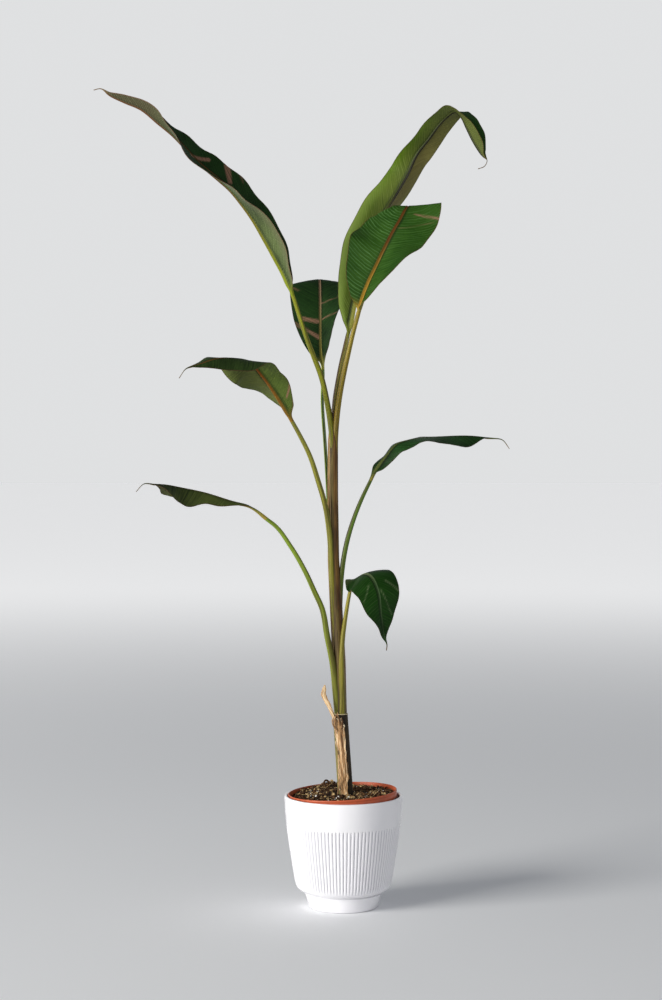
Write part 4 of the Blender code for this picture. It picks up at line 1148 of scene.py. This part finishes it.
def blade_tube(leaf, looks, seed):
    """The blade as one closed tube of flat sections: its upper face from the left margin to the
    right, then its lower face back."""
    _, knots, _, blade_from = leaf_route(leaf)
    length = knots[-1] - knots[blade_from]
    along = np.linspace(0, length, round(length / BLADE_STEP) + 1)
    share = along / length
    at, ahead, upper, side = leaf_frames(leaf, knots[blade_from] + along)
    straight = (at, ahead, upper, side)
    keys = np.array(leaf["shape"], float)
    shapes, _ = smooth(keys[:, 0], keys[:, 1:], share)
    width = np.maximum(shapes[:, 0], LEAST_HALF_WIDTH)
    turn, fold = np.radians(shapes[:, 1:2]), shapes[:, 2:]
    upper = upper * np.cos(turn) + side * np.sin(turn)
    side = np.cross(ahead, upper)[:, None]
    rib = np.minimum(leaf["radius"][2] * (1 - RIB_TAPER * share), width * RIB_WIDTH_SHARE)

    place = blade_places(width, rib)
    out, sign = np.abs(place), np.where(place < 0, -1.0, 1.0)
    wide, left = width[:, None], place < 0
    ratio = out / rib[:, None]

    x, rise, slope = half_section(out, wide, fold, leaf["curl"])
    slope = slope * np.interp(ratio, (0, 0.8, 1.5, 3), (0, 0.25, 0.6, 1))
    size, waves = leaf["wave"]
    wave = size * np.sin(np.pi * share) * np.sin(2 * np.pi * waves * share)
    rise = rise + wave[:, None] * (out / wide) ** 2
    trim = np.interp(share, *np.array(looks["trim"]).T)[:, None]
    trim = np.where(left, 1 - (1 - trim) * soft_step(ratio, 1, 3), 1)
    x, rise = x * trim, rise * trim

    vein, relief = blade_relief(looks, seed, along, width, place, ratio)
    lift = upper[:, None] * np.cos(slope)[..., None] - side * (sign * np.sin(slope))[..., None]
    middle = at[:, None] + side * (sign * x)[..., None] + upper[:, None] * rise[..., None]
    middle = middle + lift * relief[..., None]
    thick = BLADE_THICKNESS + (MARGIN_THICKNESS - BLADE_THICKNESS) * (out / wide)
    thick = np.minimum(thick, wide) / 2
    ridge = RIB_RIDGE * rib[:, None] * (1 - np.clip(ratio / 1.5, 0, 1) ** 2) ** 1.3
    groove = RIB_CHANNEL * rib[:, None] * (1 - np.clip(ratio, 0, 1) ** 2)
    above = middle + lift * (thick - groove)[..., None]
    below = middle - lift * (thick + ridge)[..., None]

    # The blade's foot takes on the stalk's round section
    joined = 1 - soft_step(along, 0, JOIN_LENGTH)
    radius = np.full(len(along), float(leaf["radius"][2]))
    channel = math.radians(CHANNEL_HALF_ANGLE)
    over = stalk_points(straight, radius, sign * channel * out / wide)
    under = stalk_points(straight, radius, sign * (math.pi - (math.pi - channel) * out / wide))
    above = above + (over - above) * joined[:, None, None]
    below = below + (under - below) * joined[:, None, None]
    marks = blade_marks(looks, along, width, rib, place, joined[:, None] + 0 * out)
    return tube(looped(above, below), closed(looped(place, place)), closed(looped(vein, vein)),
                marks)


def build_leaf(name, leaf, looks, seed):
    last = len(leaf["stalk"]) - 1
    stalk = bpy.data.materials["leaf stalk " + name]
    mesh_piece(f"{name}_leaf_stalk", [stalk_tube(leaf, leaf["free_from"], last)], [stalk],
               [f"{name}_stalk"])
    mesh_piece(f"{name}_leaf_blade", [blade_tube(leaf, looks, seed)],
               [leaf_blade(name, looks)], [f"{name}_blade"], 60)


def stem_at(z):
    """The stem core's axis and radius at heights."""
    rows = np.array(STEM_CORE)
    return [np.interp(z, rows[:, 2], rows[:, k]) for k in (0, 1, 3)]


def round_tube(heights, x, y, radius, finish, marks=None, uneven=0.15):
    """A round tube up the stem, slightly uneven like wrapped sheaths."""
    turn = np.linspace(0, 2 * math.pi, STEM_SIDES + 1)
    rings = []
    for z, a, b, r in zip(heights, x, y, radius):
        ring = []
        for t in turn[:-1]:
            bump = noise.noise(Vector((math.cos(t) * 2.2, math.sin(t) * 2.2, z / 90)))
            reach = r + uneven * bump
            ring.append((a + reach * math.cos(t), b + reach * math.sin(t), z))
        rings.append(ring)
    across = np.outer(radius, turn)
    along = np.broadcast_to(np.asarray(heights, float)[:, None], across.shape)
    return tube(rings, across, along, marks, finish)


def strip_tube(rows, points, thickness, finish=0, wrinkle=0.0, seed=0, fray=0.0, torn=0.8):
    """A thin strip bent round the stem: rows of height, left and right angle, and how far it
    stands off the core. It may be wrinkled, frayed along its edges and torn at its ends."""
    rings, across, along, marks = [], [], [], []
    last = len(rows) - 1
    for row, (z, left, right, off) in enumerate(rows):
        x, y, radius = (float(v) for v in stem_at(z))
        left += fray * noise.noise(Vector((z / 7, 3.1 + seed, 0)))
        right += fray * noise.noise(Vector((z / 9, 9.4 + seed, 0)))
        inner, outer, turns = [], [], []
        for k in range(points):
            share = k / (points - 1)
            angle = math.radians(left + (right - left) * share)
            out = Vector((math.sin(angle), -math.cos(angle), 0))
            fold = wrinkle * noise.noise(Vector((share * 5.5, z / 34, 20 + seed)))
            fold += 0.5 * wrinkle * noise.noise(Vector((share * 13, z / 16, 40 + seed)))
            lifted = radius + off + abs(fold)
            edge = min(1, 6 * min(share, 1 - share) + 0.45)
            inner.append(Vector((x, y, z)) + out * lifted)
            outer.append(Vector((x, y, z)) + out * (lifted + thickness * edge))
            turns.append(angle * radius)
        rings.append(inner + outer[::-1])
        turns = turns + turns[::-1]
        across.append(turns + turns[:1])
        along.append([z] * len(across[-1]))
        rim = 1 - min(1, min(row, last - row) / 2)
        sides = [0.7 * max(0, 1 - 10 * min(k, points - 1 - k) / points) for k in range(points)]
        marks.append([max(rim * torn, s) for s in sides + sides[::-1]])
    return tube(rings, np.array(across), np.array(along), {"rim": np.array(marks)}, finish)


def build_pseudostem():
    """The core of young sheaths, the old brown sheath round its foot, the margins that show on
    it, and the foot of each leaf's stalk."""
    finishes = [
        fibrous("living stem sheaths", ("#2a200d", "#504020", "#766534"), "#4a3c18"),
        fibrous("old brown stem sheath", ("#150f08", "#2a2012", "#4e3f22"), "#d6c69c",
                relief=0.5, rough=(0.55, 0.85)),
        # The tan sheaths on the stem's left are partly painted light, the brown ones on its right
        # partly painted shade, and the olive strip is the old sheath's lit side, painted light
        fibrous("tan stem sheaths, partly painted light", ("#5c4320", "#866638", "#ac8c5c"), "#c8b084"),
        fibrous("old stem sheath, painted lit side", ("#3a3216", "#6a6030", "#8c8250"), "#8a6a40",
                relief=0.5, rough=(0.55, 0.85)),
        fibrous("dark brown stem sheaths, partly painted shade", ("#2a1b0b", "#503514", "#80602a"), "#3c2610"),
    ]
    first_stalk = len(finishes)
    finishes += [leaf_stalk(name, LEAF_LOOKS[name]) for name in LEAVES]

    z = np.arange(CORE_FROM, STEM_CORE[-1][2], STEM_STEP)
    x, y, radius = stem_at(np.maximum(z, CORE_FREE))
    tubes = [round_tube(z, x, y, radius, 0)]

    # The old sheath's cut edge: a thin pale rim, then back down inside
    rim = np.array(OLD_SHEATH_RIM)
    z = np.concatenate((np.arange(STEM_CORE[0][2], OLD_SHEATH_TOP - 2, STEM_STEP),
                        OLD_SHEATH_TOP + rim[:, 0]))
    x, y, radius = stem_at(np.minimum(z, OLD_SHEATH_FULL))
    radius[-len(rim):] += rim[:, 1]
    pale = np.where(z > OLD_SHEATH_TOP - 0.8, 1.0, 0.0)[:, None] * np.ones(STEM_SIDES)
    pale[-1] = 0
    tubes.append(round_tube(z, x, y, radius, 1, {"rim": pale}, 0.3))

    for low, high, ends, tops, off, finish in WRAPS:
        steps = round((high - low) / STEM_STEP)
        rows = []
        for k in range(steps + 1):
            t = k / steps
            rows.append((low + (high - low) * t, *(a + (b - a) * t for a, b in zip(ends, tops)),
                         off - 0.5))
        tubes.append(strip_tube(rows, 20, 0.9, finish, 0.15, low, 3, 0))
    for k, leaf in enumerate(LEAVES.values()):
        tubes.append(stalk_tube(leaf, 0, leaf["free_from"], first_stalk + k))
    mesh_piece("wrapped_pseudostem", tubes, finishes, ["pseudostem"])


def papery_strips():
    """The strip that clings to the stem's front, with a roll along each of its edges."""
    keys = np.array(DRY_SHEATH, float)
    z = np.linspace(keys[0, 0], keys[-1, 0], DRY_RINGS)
    rows, _ = smooth(keys[:, 0], keys[:, 1:], z)
    rows = [(float(h), *map(float, row)) for h, row in zip(z, rows)]
    rolls = [[(h, left - 2, left + 7, off + 1.3) for h, left, right, off in rows[4:34]],
             [(h, right - 9, right + 1, off + 1.5) for h, left, right, off in rows[2:44]]]
    tubes = [strip_tube(rows, 26, 0.7 * DRY_THICKNESS, 0, 1.8, 3, 14)]
    return tubes + [strip_tube(roll, 8, 1.3, 0, 0.5, 3, 14) for roll in rolls]


def shrivelled_stub():
    """The stub: flat, creased and turned a little from ring to ring, paler along the middles of its
    flat faces.
    """
    keys = np.array(DRY_STUB, float)
    knots = np.arange(len(keys), dtype=float)
    rows, _ = smooth(knots, keys, np.linspace(0, len(keys) - 1, STUB_RINGS))
    turn = np.linspace(0, 2 * math.pi, STUB_SIDES + 1)
    rings = []
    for x, y, z, wide, thick, twist in rows:
        ring = []
        for t in turn[:-1]:
            crease = 1 + 0.35 * noise.noise(Vector((math.cos(t) * 1.6, math.sin(t) * 1.6, z / 9)))
            flat = Vector((math.cos(t) * wide * crease, math.sin(t) * thick * crease, 0))
            flat.rotate(Matrix.Rotation(math.radians(twist), 3, "Z"))
            ring.append(Vector((x, y, z)) + flat)
        rings.append(ring)
    across = np.outer(rows[:, 3], turn)
    middle = np.abs(np.sin(turn[:-1]))[None] ** 5 * np.ones((len(rows), 1)) * 0.5
    return tube(rings, across, np.broadcast_to(rows[:, 2:3], across.shape), {"rim": middle}, 1)


def torn_strand(points, width):
    """A flat strand through its points, tapering to its free end."""
    knots = np.arange(len(points), dtype=float)
    rows, rate = smooth(knots, points, np.linspace(0, len(points) - 1, STRAND_RINGS))
    ahead = unit(rate)
    side = unit(np.cross(ahead, (0, -1, 0)))
    out = np.cross(side, ahead)
    taper = width * (1 - 0.75 * np.linspace(0, 1, STRAND_RINGS) ** 2)
    angle = np.linspace(0, 2 * math.pi, STRAND_SIDES + 1)
    wide = np.cos(angle[:-1])[None, :, None] * side[:, None] * taper[:, None, None]
    deep = np.sin(angle[:-1])[None, :, None] * out[:, None] * STRAND_HALF_THICKNESS
    across = np.outer(taper, angle)
    along = np.broadcast_to(np.linspace(0, 30, STRAND_RINGS)[:, None], across.shape)
    return tube(rows[:, None] + wide + deep, across, along)


def build_dry_sheath():
    """The papery strip on the stem's front, its torn strands and the shrivelled stub."""
    sheath = fibrous("dead leaf sheath, dried papery", ("#4e341f", "#b68e62", "#f0dab6"),
                     "#f0e0be", 3.0, 1.2, (0.75, 0.95), 0.09)
    stub = fibrous("shrivelled leaf stub", ("#3e220e", "#8c5c32", "#d8b280"), "#f0dcb8", 2.0, 0.8,
                   (0.75, 0.95), 0.07)
    tubes = papery_strips() + [shrivelled_stub()]
    tubes += [torn_strand(points, width) for points, width in DRY_STRANDS]
    mesh_piece("papery_dry_sheath", tubes, [sheath, stub], ["dry_sheath"])


def build_stage():
    """A plain pale floor, soft studio light and the camera."""
    deselect_all()
    bpy.ops.mesh.primitive_circle_add(vertices=96, radius=FLOOR_RADIUS, fill_type="NGON",
                                      location=(0, 0, -0.0002))
    floor = bpy.context.object
    floor.name = "floor"
    material, tree, shader = start_material("matt studio floor", {
        "Base Color": linear("#f2f3f5"), "Roughness": 0.9, "Specular IOR Level": 0.1,
        "Emission Color": linear("#f3f2f0")})
    # Far from the plant the floor brightens until it meets the backdrop without an edge
    place = add(tree, "TexCoord", out="Object")
    away = add(tree, "VectorMath", {0: place}, "Value", operation="LENGTH")
    glow = add(tree, "MapRange", (away, FLOOR_GLOW_FROM, FLOOR_GLOW_FULL, 0.0, FLOOR_GLOW),
               interpolation_type="SMOOTHSTEP")
    tree.links.new(glow, shader.inputs["Emission Strength"])
    floor.data.materials.append(material)

    world = bpy.data.worlds.new("studio")
    world.use_nodes = True
    tree = world.node_tree
    height = add(tree, "SeparateXYZ", {0: add(tree, "TexCoord", out="Generated")}, "Z")
    sky = add(tree, "ValToRGB", {0: height}, stops=((0.25, "#d2d3d4"), (0.64, "#6a6d72")))
    tree.links.new(sky, tree.nodes["Background"].inputs["Color"])
    tree.nodes["Background"].inputs["Strength"].default_value = SKY_STRENGTH
    bpy.context.scene.world = world
    bpy.context.scene.view_settings.view_transform = "Standard"

    light = bpy.data.lights.new("window", "AREA")
    light.size = WINDOW_SIZE
    light.energy = WINDOW_POWER
    light.color = linear(WINDOW_COLOUR)[:3]
    lamp = bpy.data.objects.new("window", light)
    lamp.location = WINDOW_PLACE
    aim = Vector(WINDOW_AIM) - Vector(WINDOW_PLACE)
    lamp.rotation_euler = aim.to_track_quat("-Z", "Y").to_euler()
    view = bpy.data.cameras.new("camera")
    view.lens = CAMERA_LENS
    view.sensor_width = CAMERA_SENSOR
    camera = bpy.data.objects.new("camera", view)
    camera.location = Vector(CAMERA_PLACE) * MM
    camera.rotation_euler = (math.radians(90 - CAMERA_TILT), 0, 0)
    for thing in (lamp, camera):
        bpy.context.scene.collection.objects.link(thing)
    bpy.context.scene.camera = camera


def main():
    build_stage()
    build_cachepot()
    build_nursery_pot()
    build_soil()
    build_soil_bits()
    build_pseudostem()
    build_dry_sheath()
    for seed, (name, leaf) in enumerate(LEAVES.items()):
        build_leaf(name, leaf, PLAIN_LOOKS | LEAF_LOOKS[name], seed)


main()
